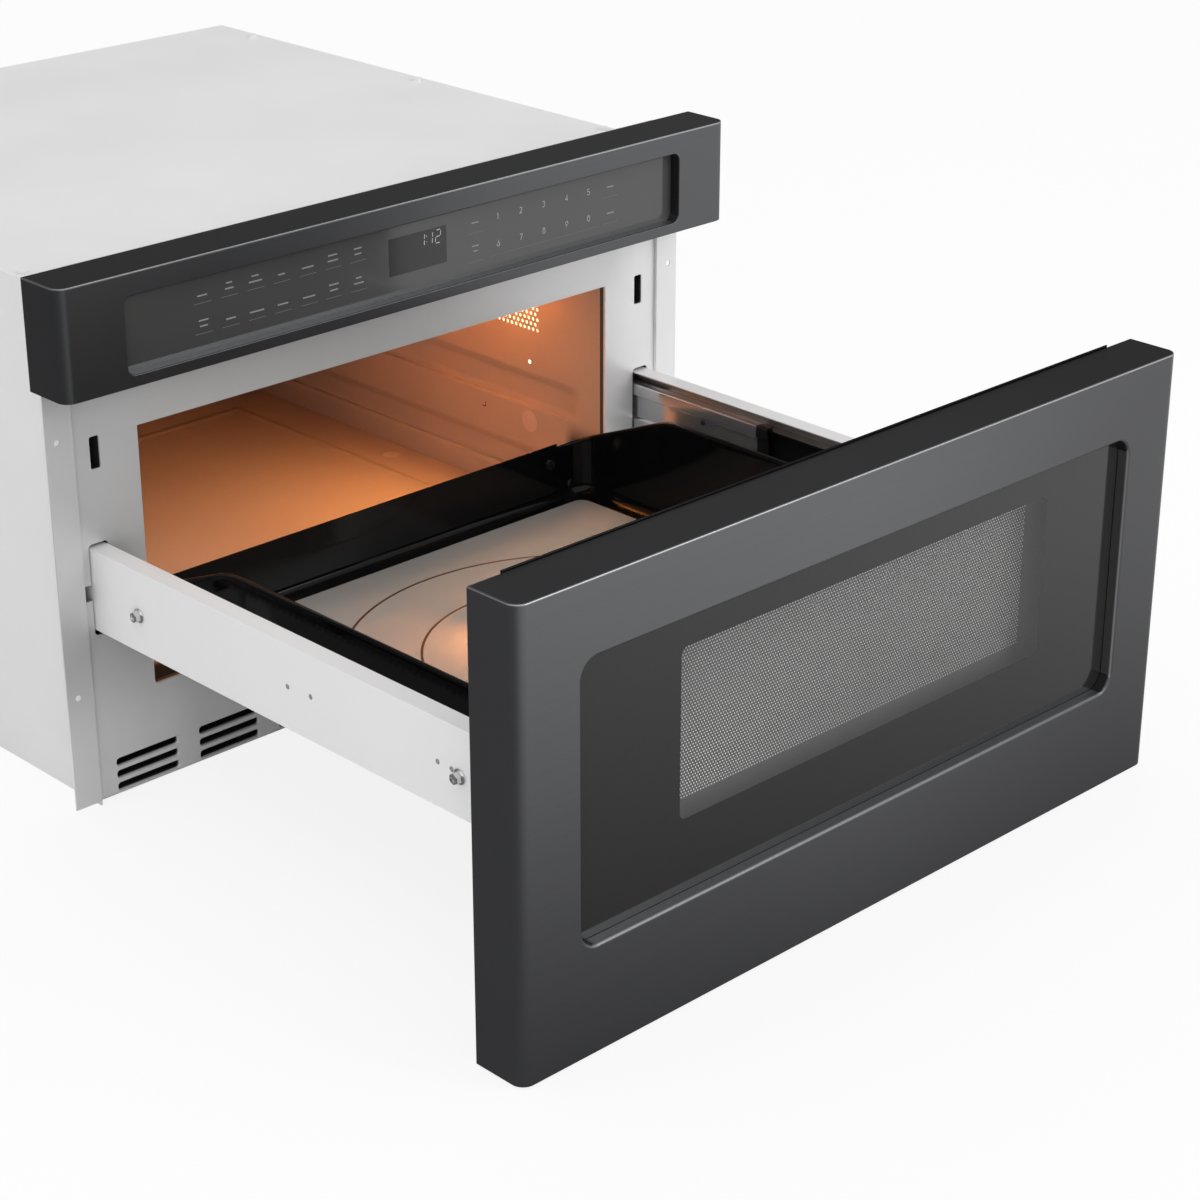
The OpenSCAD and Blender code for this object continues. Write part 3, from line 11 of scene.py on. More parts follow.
import bmesh
import bpy
import numpy as np
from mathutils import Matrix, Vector

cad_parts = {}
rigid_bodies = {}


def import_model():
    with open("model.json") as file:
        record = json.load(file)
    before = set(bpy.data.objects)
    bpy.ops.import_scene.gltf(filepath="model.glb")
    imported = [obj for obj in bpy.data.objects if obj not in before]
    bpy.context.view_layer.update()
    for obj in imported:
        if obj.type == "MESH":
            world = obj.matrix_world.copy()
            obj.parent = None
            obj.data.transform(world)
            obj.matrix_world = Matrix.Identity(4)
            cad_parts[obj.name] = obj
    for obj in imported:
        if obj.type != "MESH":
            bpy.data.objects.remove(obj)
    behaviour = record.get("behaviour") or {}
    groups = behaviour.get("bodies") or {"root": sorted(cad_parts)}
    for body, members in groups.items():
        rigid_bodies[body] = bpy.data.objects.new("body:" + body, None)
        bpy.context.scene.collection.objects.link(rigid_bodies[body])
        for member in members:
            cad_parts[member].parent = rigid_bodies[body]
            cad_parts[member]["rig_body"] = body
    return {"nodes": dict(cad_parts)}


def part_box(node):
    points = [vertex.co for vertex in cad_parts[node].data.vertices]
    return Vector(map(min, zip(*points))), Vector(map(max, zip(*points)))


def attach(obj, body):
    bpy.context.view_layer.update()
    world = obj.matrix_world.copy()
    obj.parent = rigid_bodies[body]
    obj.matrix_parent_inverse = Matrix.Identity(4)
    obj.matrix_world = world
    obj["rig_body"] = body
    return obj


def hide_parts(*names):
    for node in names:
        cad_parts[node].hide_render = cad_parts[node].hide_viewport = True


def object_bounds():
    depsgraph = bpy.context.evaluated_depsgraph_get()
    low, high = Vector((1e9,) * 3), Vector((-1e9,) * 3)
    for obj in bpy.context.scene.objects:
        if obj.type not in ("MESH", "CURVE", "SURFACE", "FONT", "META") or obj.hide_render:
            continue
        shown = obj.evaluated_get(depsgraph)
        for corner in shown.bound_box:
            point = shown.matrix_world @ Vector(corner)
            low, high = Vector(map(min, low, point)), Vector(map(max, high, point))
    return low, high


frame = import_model()
nodes = frame["nodes"]
cad_low, cad_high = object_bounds()
print("CAD box", [round(v, 4) for v in (*cad_low, *cad_high)], "with", len(nodes), "nodes")

# %% [markdown]
# Sizes were read from the photograph in millimetres, from the plane where the closed drawer front stops.
# The model's own origin lies elsewhere in y, so one helper turns such a place into metres of the frame.
# The mounting flange stands 2 mm behind the closing plane, which gives the shift from the model itself.

# %% Places
MM = 0.001
FLANGE_SET = 2 * MM
closing_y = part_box("side_panel_left")[0].y - FLANGE_SET


def spots(x, y, z):
    """Points in metres of the frame from x, y, z in millimetres behind the closing plane; each may be an array."""
    x, y, z = np.broadcast_arrays(*(np.asarray(v, float) for v in (x, y, z)))
    return np.stack([x * MM, y * MM + closing_y, z * MM], -1)


def face_of(node_name):
    """The y of a node's front face at rest, in millimetres of the frame."""
    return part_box(node_name)[0].y / MM


closing_mm = closing_y / MM
print("closing plane at y =", round(closing_mm, 2), "mm")

# %% [markdown]
# The camera looks from the front left and from above, as the photographer did. Its place and angles come from
# matching fifty measured corners of the object with their places in the picture.

# %% Camera
PICTURE_SIDE = 1200
FOCAL_PIXELS = 2850
SENSOR_MM = 36
YAW, PITCH = 0.7681, 0.4271
camera = bpy.data.objects.new("studio_camera", bpy.data.cameras.new("studio_camera"))
bpy.context.scene.collection.objects.link(camera)
camera.data.sensor_width = SENSOR_MM
camera.data.lens = SENSOR_MM * FOCAL_PIXELS / PICTURE_SIDE
camera.data.shift_y = 0.02
camera.location = (-1.2453, -1.5052 + closing_y, 0.9399)
sight = Vector((math.sin(YAW) * math.cos(PITCH), math.cos(YAW) * math.cos(PITCH), -math.sin(PITCH)))
camera.rotation_mode = "QUATERNION"
camera.rotation_quaternion = sight.to_track_quat("-Z", "Y")
camera.data.clip_start = 0.01
bpy.context.scene.camera = camera
print("lens", round(camera.data.lens, 1), "mm")

# %% [markdown]
# Materials here are written as sums. A Wire stands for one socket of a material's node tree, and the usual
# signs between wires and numbers add the Math nodes. Any other node comes from Wire.node.

# %% Shader maths


class Wire:
    """One socket of a material's tree; arithmetic on it adds Math nodes to the same tree."""

    def __init__(self, tree, socket=None):
        self.tree, self.socket = tree, socket

    def node(self, kind, settings=None, inputs=None, output=0):
        """Adds a node: its settings first, then the values or wires of its sockets; returns one output."""
        made = self.tree.nodes.new(kind)
        for name, value in (settings or {}).items():
            setattr(made, name, value)
        for key, value in (inputs or {}).items():
            if isinstance(value, Wire):
                self.tree.links.new(value.socket, made.inputs[key])
            else:
                made.inputs[key].default_value = value
        return Wire(self.tree, made.outputs[output])

    def maths(self, operation, *values):
        """A Math node of that operation on the values."""
        return self.node("ShaderNodeMath", {"operation": operation}, dict(enumerate(values)))

    def larger(self, other):
        """The larger of two values at each point."""
        return self.maths("MAXIMUM", self, other)

    def __add__(self, other):
        return self.maths("ADD", self, other)

    def __sub__(self, other):
        return self.maths("SUBTRACT", self, other)

    def __rsub__(self, other):
        return self.maths("SUBTRACT", other, self)

    def __mul__(self, other):
        return self.maths("MULTIPLY", self, other)

    def __pow__(self, other):
        return self.maths("POWER", self, other)

    def __abs__(self):
        return self.maths("ABSOLUTE", self)

    __radd__, __rmul__ = __add__, __mul__

    def step(self, low, high):
        """0 below low, 1 above high, and a smooth rise between."""
        return self.node("ShaderNodeMapRange", {"interpolation_type": "SMOOTHSTEP"},
                         {"Value": self, "From Min": low, "From Max": high})


print("shader maths ready")

# %% [markdown]
# A finish is one material. What is the same all over it is set on the shader by name, and what changes over the
# surface is fed by wires: noise, a place in the object, or a mask worked out from them.

# %% Finishes


class Finish:
    """A material on Blender's Principled shader, whose changing sockets are fed by wires."""

    def __init__(self, name, **constants):
        self.material = bpy.data.materials.new(name)
        self.material.use_nodes = True
        tree = self.material.node_tree
        self.shader = next(n for n in tree.nodes if n.type == "BSDF_PRINCIPLED")
        self.blank = Wire(tree)
        for key, value in constants.items():
            self.shader.inputs[key.replace("_", " ")].default_value = value

    def place(self, stretch=(1, 1, 1)):
        """Object coordinates in metres, stretched."""
        where = self.blank.node("ShaderNodeTexCoord", output="Object")
        return self.blank.node("ShaderNodeMapping", {}, {"Vector": where, "Scale": stretch})

    def axis(self, index):
        """One object coordinate, in millimetres."""
        apart = self.blank.node("ShaderNodeSeparateXYZ", {}, {0: self.place()}, output=index)
        return apart * (1 / MM)

    def noise(self, scale, stretch=(1, 1, 1), detail=3, roughness=0.5):
        """Noise from 0 to 1 whose grain is about 1/scale metres."""
        return self.blank.node("ShaderNodeTexNoise", {}, {"Vector": self.place(stretch), "Scale": scale,
                                                          "Detail": detail, "Roughness": roughness})

    def mix(self, mask, low, high):
        """Colour low where the mask is 0 and high where it is 1; both may be wires."""
        low, high = ((*c, 1) if isinstance(c, tuple) else c for c in (low, high))
        return self.blank.node("ShaderNodeMix", {"data_type": "RGBA"}, {0: mask, 6: low, 7: high}, output=2)

    def cloudy(self, scale, dark, light):
        """Two close tones, mixed by noise of that scale."""
        return self.mix(self.noise(scale), dark, light)

    def feed(self, **wires):
        """Links wires to the shader's sockets of those names."""
        for key, wire in wires.items():
            self.blank.tree.links.new(wire.socket, self.shader.inputs[key.replace("_", " ")])
        return self

    def bump(self, height, depth, strength=1.0):
        """Feeds the normal with a relief of that depth in metres."""
        relief = self.blank.node("ShaderNodeBump", {}, {"Height": height, "Distance": depth, "Strength": strength})
        return self.feed(Normal=relief)


def greys(dark, light):
    """Two plain greys as colours."""
    return (dark,) * 3, (light,) * 3


finishes = {}
print("finish helpers ready")

# %% [markdown]
# ## Dark brushed steel
# The fronts are steel sheet, brushed in one direction and tinted dark. Brushing is noise that is stretched a
# thousand times along the stroke: it changes the tone a little, the roughness a little, and the normal most.

# %% Dark brushed steel
def brushed(name, dark, light, roughness, along=(3, 2600, 2600), depth=0.000004, metallic=1.0):
    """Metal brushed along X: stretched noise mixes two tones and moves roughness and relief."""
    skin = Finish(name, Metallic=metallic)
    stroke = skin.noise(1, along, detail=4, roughness=0.65)
    cloud = skin.noise(6, detail=2)
    skin.tone = skin.mix(stroke.step(0.25, 0.75) * 0.8 + cloud * 0.2, dark, light)
    skin.feed(Base_Color=skin.tone, Roughness=stroke * 0.10 + cloud * 0.06 + (roughness - 0.08))
    skin.bump(stroke, depth, 0.3)
    return skin


print("brushed metal ready")

# %% [markdown]
# The two fronts have the same brushing and different tints. Masks worked out from the place on the sheet paint
# light and shade over them: a painted highlight along the upper roll, a painted reflection on the recess's lower
# wall, painted light on the drawer's right recess wall and painted shade on the panel's, and painted shade that
# deepens along x.

# %% The fronts' tint and painted light
DEEP_SHADE = (0.05, 0.05, 0.053)
EDGE_R, FRONT_X = 9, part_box("door_skin")[1].x / MM
GLASS_OVER = {"door_glass": 6, "panel_glass": 4}


def front_finish(name, dark, light, node_name, glass_name, painted_shade, fall, wall_shading):
    """Brushed steel of a front: painted shade deepens its tone along the fall in x, a painted highlight runs along
    the upper roll, a painted reflection lies on the recess's lower wall, and the recess's right wall takes painted
    light on the drawer and painted shade on the panel. The glass reaches a few mm below and beside those walls."""
    skin = brushed(name, dark, light, 0.36)
    over = GLASS_OVER[glass_name]
    ledge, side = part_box(glass_name)[0].z / MM + over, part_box(glass_name)[1].x / MM - over
    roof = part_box(glass_name)[1].z / MM - over
    across, height, depth = skin.axis(0), skin.axis(2), skin.axis(1) - face_of(node_name)
    recessed = depth.step(0.3, 1.5)
    # painted reflection: a pale bluish strip on the recess's lower wall, below the glass
    ledge_reflection = height.step(ledge - 2.4, ledge - 0.6) * (1 - height.step(ledge + 0.2, ledge + 0.4))
    ledge_reflection = ledge_reflection * recessed * (1 - abs(across).step(side + 1, side + 4))
    # painted light on the right wall of the drawer front's recess, and painted shade on the panel's
    on_wall = across.step(side - 0.4, side - 0.2) * (1 - across.step(side + 0.8, side + 2.6)) * recessed
    on_wall = on_wall * height.step(ledge - 6, ledge - 4) * (1 - height.step(roof + 4, roof + 6))
    # inset from the rounded outline in plan, so that the painted highlight follows the upper roll around the corners
    # too
    aside, ahead = (abs(across) - (FRONT_X - EDGE_R)).larger(0), (EDGE_R - depth).larger(0)
    inset = EDGE_R - (aside * aside + ahead * ahead) ** 0.5
    # painted highlight: a thin paler line along the upper roll
    roll_highlight = 1 - (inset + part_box(node_name)[1].z / MM - height).step(0.85, 1.3)
    # painted shade: the tone is painted darker along the fall in x
    shaded_tone = skin.mix(across.step(*fall) * painted_shade, skin.tone, DEEP_SHADE)
    # each mask paints its tone over the shaded tone: the roll's highlight, the right wall's light and shade, the
    # lower wall's reflection
    for mask, shading_from, shading_to in ((roll_highlight, (0.36, 0.36, 0.375), (0.42, 0.42, 0.435)),
                                (on_wall, wall_shading, tuple(c * 1.15 for c in wall_shading)),
                                (ledge_reflection, (0.44, 0.46, 0.49), (0.5, 0.52, 0.55))):
        shaded_tone = skin.mix(mask, shaded_tone, skin.cloudy(30, shading_from, shading_to))
    return skin.feed(Base_Color=shaded_tone)


# each front: its brushing tones, the strength and span of its painted shade along x, and the tone painted on its
# recess's right wall
finishes["front_steel"] = front_finish("panel_brushed_steel", (0.112, 0.114, 0.121), (0.130, 0.132, 0.139),
                                       "panel_skin", "panel_glass", 0.35, (60, -300), (0.10, 0.10, 0.105))
finishes["door_steel"] = front_finish("drawer_brushed_steel", (0.142, 0.144, 0.152), (0.160, 0.162, 0.170),
                                      "door_skin", "door_glass", 0.6, (-60, 320), (0.36, 0.36, 0.37))
print("front steel:", len(finishes["front_steel"].material.node_tree.nodes), "nodes")

# %% [markdown]
# ## Case and rail steel
# The case is zinc coated sheet with a satin clear coat, and the rails are the same sheet painted pale. Both
# get a faint rolling grain and a wide cloud of slightly different grey, as coated sheet has.

# %% Case and rail steel
def coated(name, dark, light, roughness, metallic, grain=(60, 60, 900)):
    """Coated sheet: a fine grain and a wide cloud mix two greys."""
    sheet = Finish(name, Metallic=metallic)
    fine, cloud = sheet.noise(1, grain, detail=3), sheet.noise(9, detail=3)
    sheet.feed(Base_Color=sheet.mix(fine * 0.4 + cloud * 0.6, dark, light),
               Roughness=fine * 0.08 + cloud * 0.08 + (roughness - 0.08))
    sheet.bump(sheet.noise(1300, detail=2), 0.000012, 0.35)
    return sheet


finishes["bright_steel"] = coated("bright_plating", (0.62, 0.62, 0.63), (0.78, 0.78, 0.79), 0.18, 1.0)
print("coated sheet ready")

# %% [markdown]
# One sheet can look different from face to face: painted outside, bare zinc inside that is painted dark as shade,
# or black at a plastic end cap.
# A CAD node has a single material, so a mask on the place in the object chooses the coat.

# %% Sheets that change from face to face
CASE_X, CASE_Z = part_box("top_panel")[1].x / MM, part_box("top_panel")[1].z / MM
# the inner zinc tone is painted shade: dark, so that slots and gaps look shaded
PALE_PAINT, SHADE_ZINC = greys(0.76, 0.82), greys(0.05, 0.08)


def outside(skin, x, z):
    """1 on faces beyond x to either side or above z, in mm, and 0 on the faces inside them."""
    return abs(skin.axis(0)).step(x - 0.7, x - 0.4).larger(skin.axis(2).step(z - 0.7, z - 0.4))


def painted_outside(skin):
    """Pale paint on the case's outer faces, and zinc inside painted dark as shade."""
    return skin.mix(outside(skin, CASE_X, CASE_Z), skin.cloudy(20, *SHADE_ZINC), skin.cloudy(9, *PALE_PAINT))


def satin_zinc(sheet):
    """Bare sheet with a satin grain, painted paler toward the right and toward the bottom as painted light."""
    # painted light: the bare zinc is painted paler toward the right and toward the bottom
    painted_light = sheet.axis(0).step(-40, 250).larger(1 - sheet.axis(2).step(40, 130))
    return sheet.mix(painted_light, sheet.cloudy(30, (0.58, 0.58, 0.585), (0.62, 0.62, 0.625)),
                     sheet.cloudy(30, (0.88, 0.88, 0.885), (0.93, 0.93, 0.935)))


case = finishes["case_steel"] = coated("painted_case", *PALE_PAINT, 0.45, 0.0)
case.feed(Base_Color=painted_outside(case))
front_sheet = finishes["front_sheet"] = coated("satin_front_sheet", *greys(0.7, 0.8), 0.36, 0.3, (900, 60, 20))
# painted shade: the front sheet's faces behind its front face are dark
inward = (front_sheet.axis(1) - face_of("front_plate")).step(1.3, 3.0)
front_sheet.feed(Base_Color=front_sheet.mix(inward, satin_zinc(front_sheet), SHADE_ZINC[0]),
                 Metallic=0.3 - inward * 0.3)
side_sheet = finishes["side_sheet"] = coated("side_sheet", *PALE_PAINT, 0.45, 0.0)
bare = 1 - (side_sheet.axis(1) - closing_mm).step(4, 7)
side_sheet.feed(Base_Color=side_sheet.mix(bare, painted_outside(side_sheet), satin_zinc(side_sheet)),
                Metallic=bare * 0.3)
ALONG_RAIL = (20, 900, 900)
RAIL_PAINT, RAIL_ZINC = ((0.78, 0.78, 0.785), (0.82, 0.82, 0.825)), ((0.60, 0.56, 0.53), (0.70, 0.65, 0.61))
rail = finishes["rail_steel"] = coated("painted_rail", *RAIL_PAINT, 0.38, 0.0, ALONG_RAIL)
painted = outside(rail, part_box("rail_right")[1].x / MM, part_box("rail_right")[1].z / MM)
rail.feed(Base_Color=rail.mix(painted, rail.cloudy(8, *RAIL_ZINC), rail.cloudy(9, *RAIL_PAINT)),
          Metallic=0.8 - painted * 0.8, Roughness=painted * 0.06 + 0.32)
SLIDE_ZINC, CAP_BLACK = ((0.62, 0.62, 0.63), (0.74, 0.74, 0.75)), greys(0.012, 0.02)
slide = finishes["slide_zinc"] = coated("slide_zinc", *SLIDE_ZINC, 0.16, 1.0, ALONG_RAIL)
CAP_END = (11.3, 11.6)
cap = 1 - (slide.axis(1) - face_of("slide_mid_right")).step(*CAP_END)
slide.feed(Base_Color=slide.mix(cap, slide.cloudy(9, *SLIDE_ZINC), slide.cloudy(900, *CAP_BLACK)),
           Metallic=0.8 - cap * 0.8)
# painted shade: dark zinc for parts that show through the slots
finishes["inner_zinc"] = coated("inner_zinc", *SHADE_ZINC, 0.4, 0.0)
print("coated sheets:", [f.material.name for f in finishes.values()])

# %% [markdown]
# ## Black enamel and oven paint
# The pan is dipped in black enamel, glossy with a very slight orange peel. The cavity has a warm satin paint
# with fine speckles, which the oven lamp turns to orange.

# %% Black enamel
enamel = Finish("black_enamel", Specular_IOR_Level=0.16)
peel = enamel.noise(260, detail=2)
enamel.feed(Base_Color=enamel.cloudy(40, (0.0025, 0.0025, 0.0028), (0.005, 0.005, 0.0053)),
            Roughness=peel * 0.06 + 0.05)
enamel.bump(peel, 0.00003, 0.25)
finishes["enamel"] = enamel
print("enamel ready")

# %% [markdown]
# The cavity's walls have two pressed bands on each side and a pressed frame around the floor. Their soft edges
# are too shallow for the solids, so the paint's relief draws them. Low down near the mouth the paint is black as
# painted shade, and toward the back it is painted darker as shade.

# %% Oven paint
FLOOR_FRAME = (174, 426)
PRESSED_BANDS = ((89, 109), (149, 173))
BAND_DEPTH, RIDGE_HIGH = 2.6 * MM, 1.0 * MM
paint = Finish("oven_paint", Specular_IOR_Level=0.5)
speckle, cloud = paint.noise(2400, detail=1), paint.noise(14, detail=2)
aside, inward, height = abs(paint.axis(0)), paint.axis(1) - closing_mm, paint.axis(2)
# painted shade: the paint is black low down near the mouth
lip = (1 - inward.step(40, 54)) * (1 - height.step(125, 150))
coat = paint.mix(speckle.step(0.35, 0.7) * 0.25 + cloud * 0.6, (0.48, 0.315, 0.225), (0.58, 0.385, 0.275))
# painted shade: the paint is darker toward the back of the cavity
coat = paint.mix(inward.step(180, 480) * 0.6, coat, (0.22, 0.13, 0.085))
black = paint.mix(cloud, (0.012, 0.011, 0.010), (0.02, 0.018, 0.016))
paint.feed(Base_Color=paint.mix(lip, coat, black), Roughness=speckle * 0.1 + 0.24 + lip * 0.5)
deep = sum((height.step(low - 5, low + 5) * (1 - height.step(high - 5, high + 5)) for low, high in PRESSED_BANDS), 0)
on_side = aside.step(214, 216) * inward.step(34, 46)
beyond_frame = (aside - FLOOR_FRAME[0]).larger(inward - FLOOR_FRAME[1])
ridge = (1 - abs(beyond_frame).step(1, 6)) * (1 - height.step(72, 74))
paint.bump(speckle * 0.00001 - deep * on_side * BAND_DEPTH + ridge * RIDGE_HIGH, 1.0)
finishes["oven_paint"] = paint
print("oven paint ready, with", len(PRESSED_BANDS), "bands")

# %% [markdown]
# ## Glass
# Both fronts carry dark printed glass. The drawer's glass has a clear window in the print, so the same pane is
# opaque outside a rounded rectangle and see-through inside it: the mask feeds the shader's alpha.

# %% Printed glass
WINDOW_X, WINDOW_Z, WINDOW_R = (-165, 179), (125, 239), 5


def printed_glass(name, dark, light):
    """Dark glass: a faint dust cloud lifts the tone and the roughness."""
    pane = Finish(name, IOR=1.5)
    haze, dust = pane.noise(5, detail=2), pane.noise(900, detail=1)
    pane.feed(Base_Color=pane.mix(haze * 0.8 + dust * 0.2, dark, light), Roughness=haze * 0.05 + dust * 0.02 + 0.05)
    return pane


pane = finishes["door_pane"] = printed_glass("drawer_glass", *greys(0.009, 0.014))
beyond = [(abs(pane.axis(index) - sum(span) / 2) - ((span[1] - span[0]) / 2 - WINDOW_R)).larger(0)
          for index, span in ((0, WINDOW_X), (2, WINDOW_Z))]
print_edge = (beyond[0] * beyond[0] + beyond[1] * beyond[1]) ** 0.5
front_face = 1 - (pane.axis(1) - face_of("door_glass")).step(0.5, 0.7)
pane.feed(Alpha=front_face * (print_edge.step(WINDOW_R - 0.3, WINDOW_R + 0.3) * 0.85 + 0.13) + 0.02)
control_pane = finishes["front_glass"] = printed_glass("panel_glass", *greys(0.052, 0.066))
# painted reflection: the panel's glass is painted paler toward the right
painted_light = control_pane.axis(0).step(-240, 60) * 0.8 + control_pane.noise(5) * 0.2
control_pane.feed(Base_Color=control_pane.mix(painted_light, *greys(0.050, 0.088)))

clear = Finish("clear_pane", IOR=1.5, Alpha=0.25)
clear.feed(Base_Color=clear.cloudy(12, (0.5, 0.52, 0.52), (0.62, 0.64, 0.64)),
           Roughness=clear.noise(30) * 0.06 + 0.03)
finishes["clear_glass"] = clear
print("glass ready; window mask radius", WINDOW_R, "mm")

# %% [markdown]
# ## The pan's plate, plastics and electric parts
# The plate is pale opaque glass, polished on top. The plastics are moulded with a fine spark-eroded grain,
# and the board, the copper and the lamp each get their own simple pattern.

# %% Plate, plastics and electric parts
plate = Finish("pale_plate", Specular_IOR_Level=0.6)
cloud = plate.noise(10, detail=2)
plate.feed(Base_Color=plate.mix(cloud, (0.33, 0.325, 0.31), (0.40, 0.39, 0.375)), Roughness=cloud * 0.03 + 0.04)
finishes["tray_glass"] = plate


def moulded(name, dark, light, roughness):
    """Moulded plastic with a fine eroded grain."""
    shell = Finish(name)
    grain = shell.noise(2200, detail=2)
    shell.feed(Base_Color=shell.mix(grain * 0.5 + shell.noise(20) * 0.5, dark, light),
               Roughness=grain * 0.12 + (roughness - 0.06))
    shell.bump(grain, 0.00004, 0.4)
    return shell


finishes["dark_plastic"] = moulded("dark_plastic", (0.016, 0.016, 0.017), (0.028, 0.028, 0.029), 0.5)
finishes["pale_plastic"] = moulded("pale_plastic", (0.62, 0.60, 0.56), (0.72, 0.70, 0.65), 0.45)
finishes["display"] = moulded("display_face", (0.010, 0.010, 0.011), (0.014, 0.014, 0.015), 0.25)
finishes["board"] = moulded("circuit_board", (0.02, 0.10, 0.045), (0.035, 0.15, 0.07), 0.4)
finishes["copper"] = brushed("copper_windings", (0.50, 0.22, 0.11), (0.70, 0.36, 0.20), 0.3, (4, 1500, 4))
bulb = finishes["lamp"] = Finish("lamp_glow", Emission_Color=(1.0, 0.55, 0.22, 1), Emission_Strength=6.0)
bulb.feed(Base_Color=bulb.cloudy(60, (0.9, 0.62, 0.35), (1.0, 0.75, 0.45)))
lamp_light = finishes["lamp_light"] = Finish("lamp_light", Emission_Strength=1.0)
lamp_light.feed(Emission_Color=lamp_light.mix(lamp_light.noise(90, detail=1), (1.7, 1.38, 0.80), (2.1, 1.8, 1.15)))
print("plate, plastics and lamp ready")

# %% [markdown]
# ## Inks and the window screen's paint
# Ink is thin and nearly even, so two close tones are enough. The window screen is dark paint, and its holes are
# painted pale as painted light seen through them. Its holes near the lower left catch the light of the room, which a
# little emission stands for, and a faint emission paints light over the whole sheet, more on its plain margins.

# %% Inks and screen paint


def printed(name, dark, light, roughness=0.4):
    """Ink: two close tones mixed by a fine noise."""
    ink = Finish(name)
    grain = ink.noise(700, detail=2)
    return ink.feed(Base_Color=ink.mix(grain, dark, light), Roughness=grain * 0.1 + (roughness - 0.05))


for ink_name, tones, roughness in (("pale_print", greys(0.50, 0.58), 0.4), ("grey_print", greys(0.25, 0.31), 0.4),
                                   ("dim_print", ((0.12, 0.12, 0.115), (0.16, 0.16, 0.155)), 0.4),
                                   ("clock_ground", greys(0.022, 0.028), 0.12),
                                   ("ring_print", ((0.055, 0.018, 0.012), (0.075, 0.028, 0.018)), 0.3),
                                   ("paint_mark", ((0.60, 0.40, 0.29), (0.66, 0.44, 0.32)), 0.3)):
    finishes[ink_name] = printed(ink_name, *tones, roughness)
screen_paint = finishes["screen_paint"] = Finish("screen_paint", Emission_Strength=1.0)
across, depth, height = (screen_paint.axis(0), screen_paint.axis(1) - face_of("window_screen"), screen_paint.axis(2))
grain = screen_paint.noise(500, detail=2)
# painted light: a faint emission lifts the whole sheet, more on its plain margins
plain = (1 - height.step(123, 145)).larger(across.step(160, 184))
in_dimple = depth.step(0.05, 0.22)
near_corner = (1 - across.step(-190, 60)) * (1 - height.step(120, 230))
dark_sheet, lifted = screen_paint.mix(grain, *greys(0.09, 0.105)), screen_paint.mix(plain, *greys(0.03, 0.068))
# painted light: the dimples are painted pale as light seen through the holes
screen_paint.feed(Base_Color=screen_paint.mix(in_dimple, dark_sheet, (0.66, 0.66, 0.65)), Roughness=grain * 0.1 + 0.5,
                  Emission_Color=screen_paint.mix(in_dimple * near_corner, lifted, (0.34, 0.34, 0.33)))
print(len(finishes), "finishes")

# %% [markdown]
# ## Dress the nodes
# Each CAD node keeps its shape and takes the finish of its slot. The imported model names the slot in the
# node's material, so the table below only lists the nodes that need another finish than their slot's.

# %% Dress the nodes
SLOT_OF = {name: cad_object.material_slots[0].material.name.split(".")[0] for name, cad_object in nodes.items()}
print(sorted(set(SLOT_OF.values())))


def dress(target, slot_name, finish=None):
    """Puts a finish in every material slot of an object."""
    target.data.materials.clear()
    target.data.materials.append(finishes[finish or slot_name].material)


for node_name, cad_object in nodes.items():
    dress(cad_object, SLOT_OF[node_name])
for node_name, other in (("case_screws", "case_steel"), ("latch_switches", "dark_plastic"),
                         ("slide_brackets", "inner_zinc"), ("tray_screws", "bright_steel"),
                         ("slide_channel_left", "slide_zinc"), ("slide_channel_right", "slide_zinc")):
    dress(nodes[node_name], SLOT_OF[node_name], other)
print("dressed", len(nodes), "nodes")

# %% [markdown]
# ## Rolled edges
# Real sheet has no knife edges: each bend and each cut edge is rounded a little, and that is where the light
# catches. A node's mesh stays as it is, so a merged copy of it gets the rounding and stands for the node.

# %% Rolled edges
SMOOTH_UNDER = math.radians(32)
SAME, MERGE = 0.1 * MM, 0.002 * MM


def settle(piece, body, slot_name, finish=None):
    """Links a piece, makes it ride on its body and gives it its slot and finish."""
    if piece.name not in bpy.context.scene.collection.objects:
        bpy.context.scene.collection.objects.link(piece)
    dress(piece, slot_name, finish)
    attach(piece, body)
    return piece


def shade(mesh, limit=SMOOTH_UNDER):
    """Smooth shading that breaks where two faces meet at more than the limit."""
    mesh.polygons.foreach_set("use_smooth", np.ones(len(mesh.polygons), bool))
    mesh.set_sharp_from_angle(angle=limit)


def rolled_copy(node_name, widths, steps=3, finish=None):
    """A merged copy of a node with rounded edges; widths lists (test of an edge's two ends, radius in mm)."""
    source = nodes[node_name]
    build = bmesh.new()
    build.from_mesh(source.data)
    bmesh.ops.remove_doubles(build, verts=build.verts, dist=MERGE)
    bmesh.ops.dissolve_limit(build, angle_limit=math.radians(0.3), verts=build.verts, edges=build.edges)
    weight = build.edges.layers.float.new("bevel_weight_edge")
    widest = max(width for _, width in widths)
    for edge in build.edges:
        if len(edge.link_faces) == 2 and edge.calc_face_angle(0) > SMOOTH_UNDER:
            ends = [v.co for v in edge.verts]
            edge[weight] = next((width for test, width in widths if test(*ends)), 0) / widest
    mesh = bpy.data.meshes.new(node_name + "_rolled")
    build.to_mesh(mesh)
    build.free()
    piece = bpy.data.objects.new(node_name + "_rolled", mesh)
    shade(mesh)
    settle(piece, source["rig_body"], SLOT_OF[node_name], finish)
    roll = piece.modifiers.new("roll", "BEVEL")
    roll.width, roll.segments, roll.limit_method = widest * MM, steps, "WEIGHT"
    roll.harden_normals, roll.miter_outer = True, "MITER_ARC"
    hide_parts(node_name)
    return piece


print("rolled copies ready")

# %% [markdown]
# The radius is chosen edge by edge. Each test looks at an edge's two ends, and an edge takes the radius of the
# first test that it passes.

# %% Tests of an edge


def anywhere(a, b):
    """Test that every edge passes."""
    return True


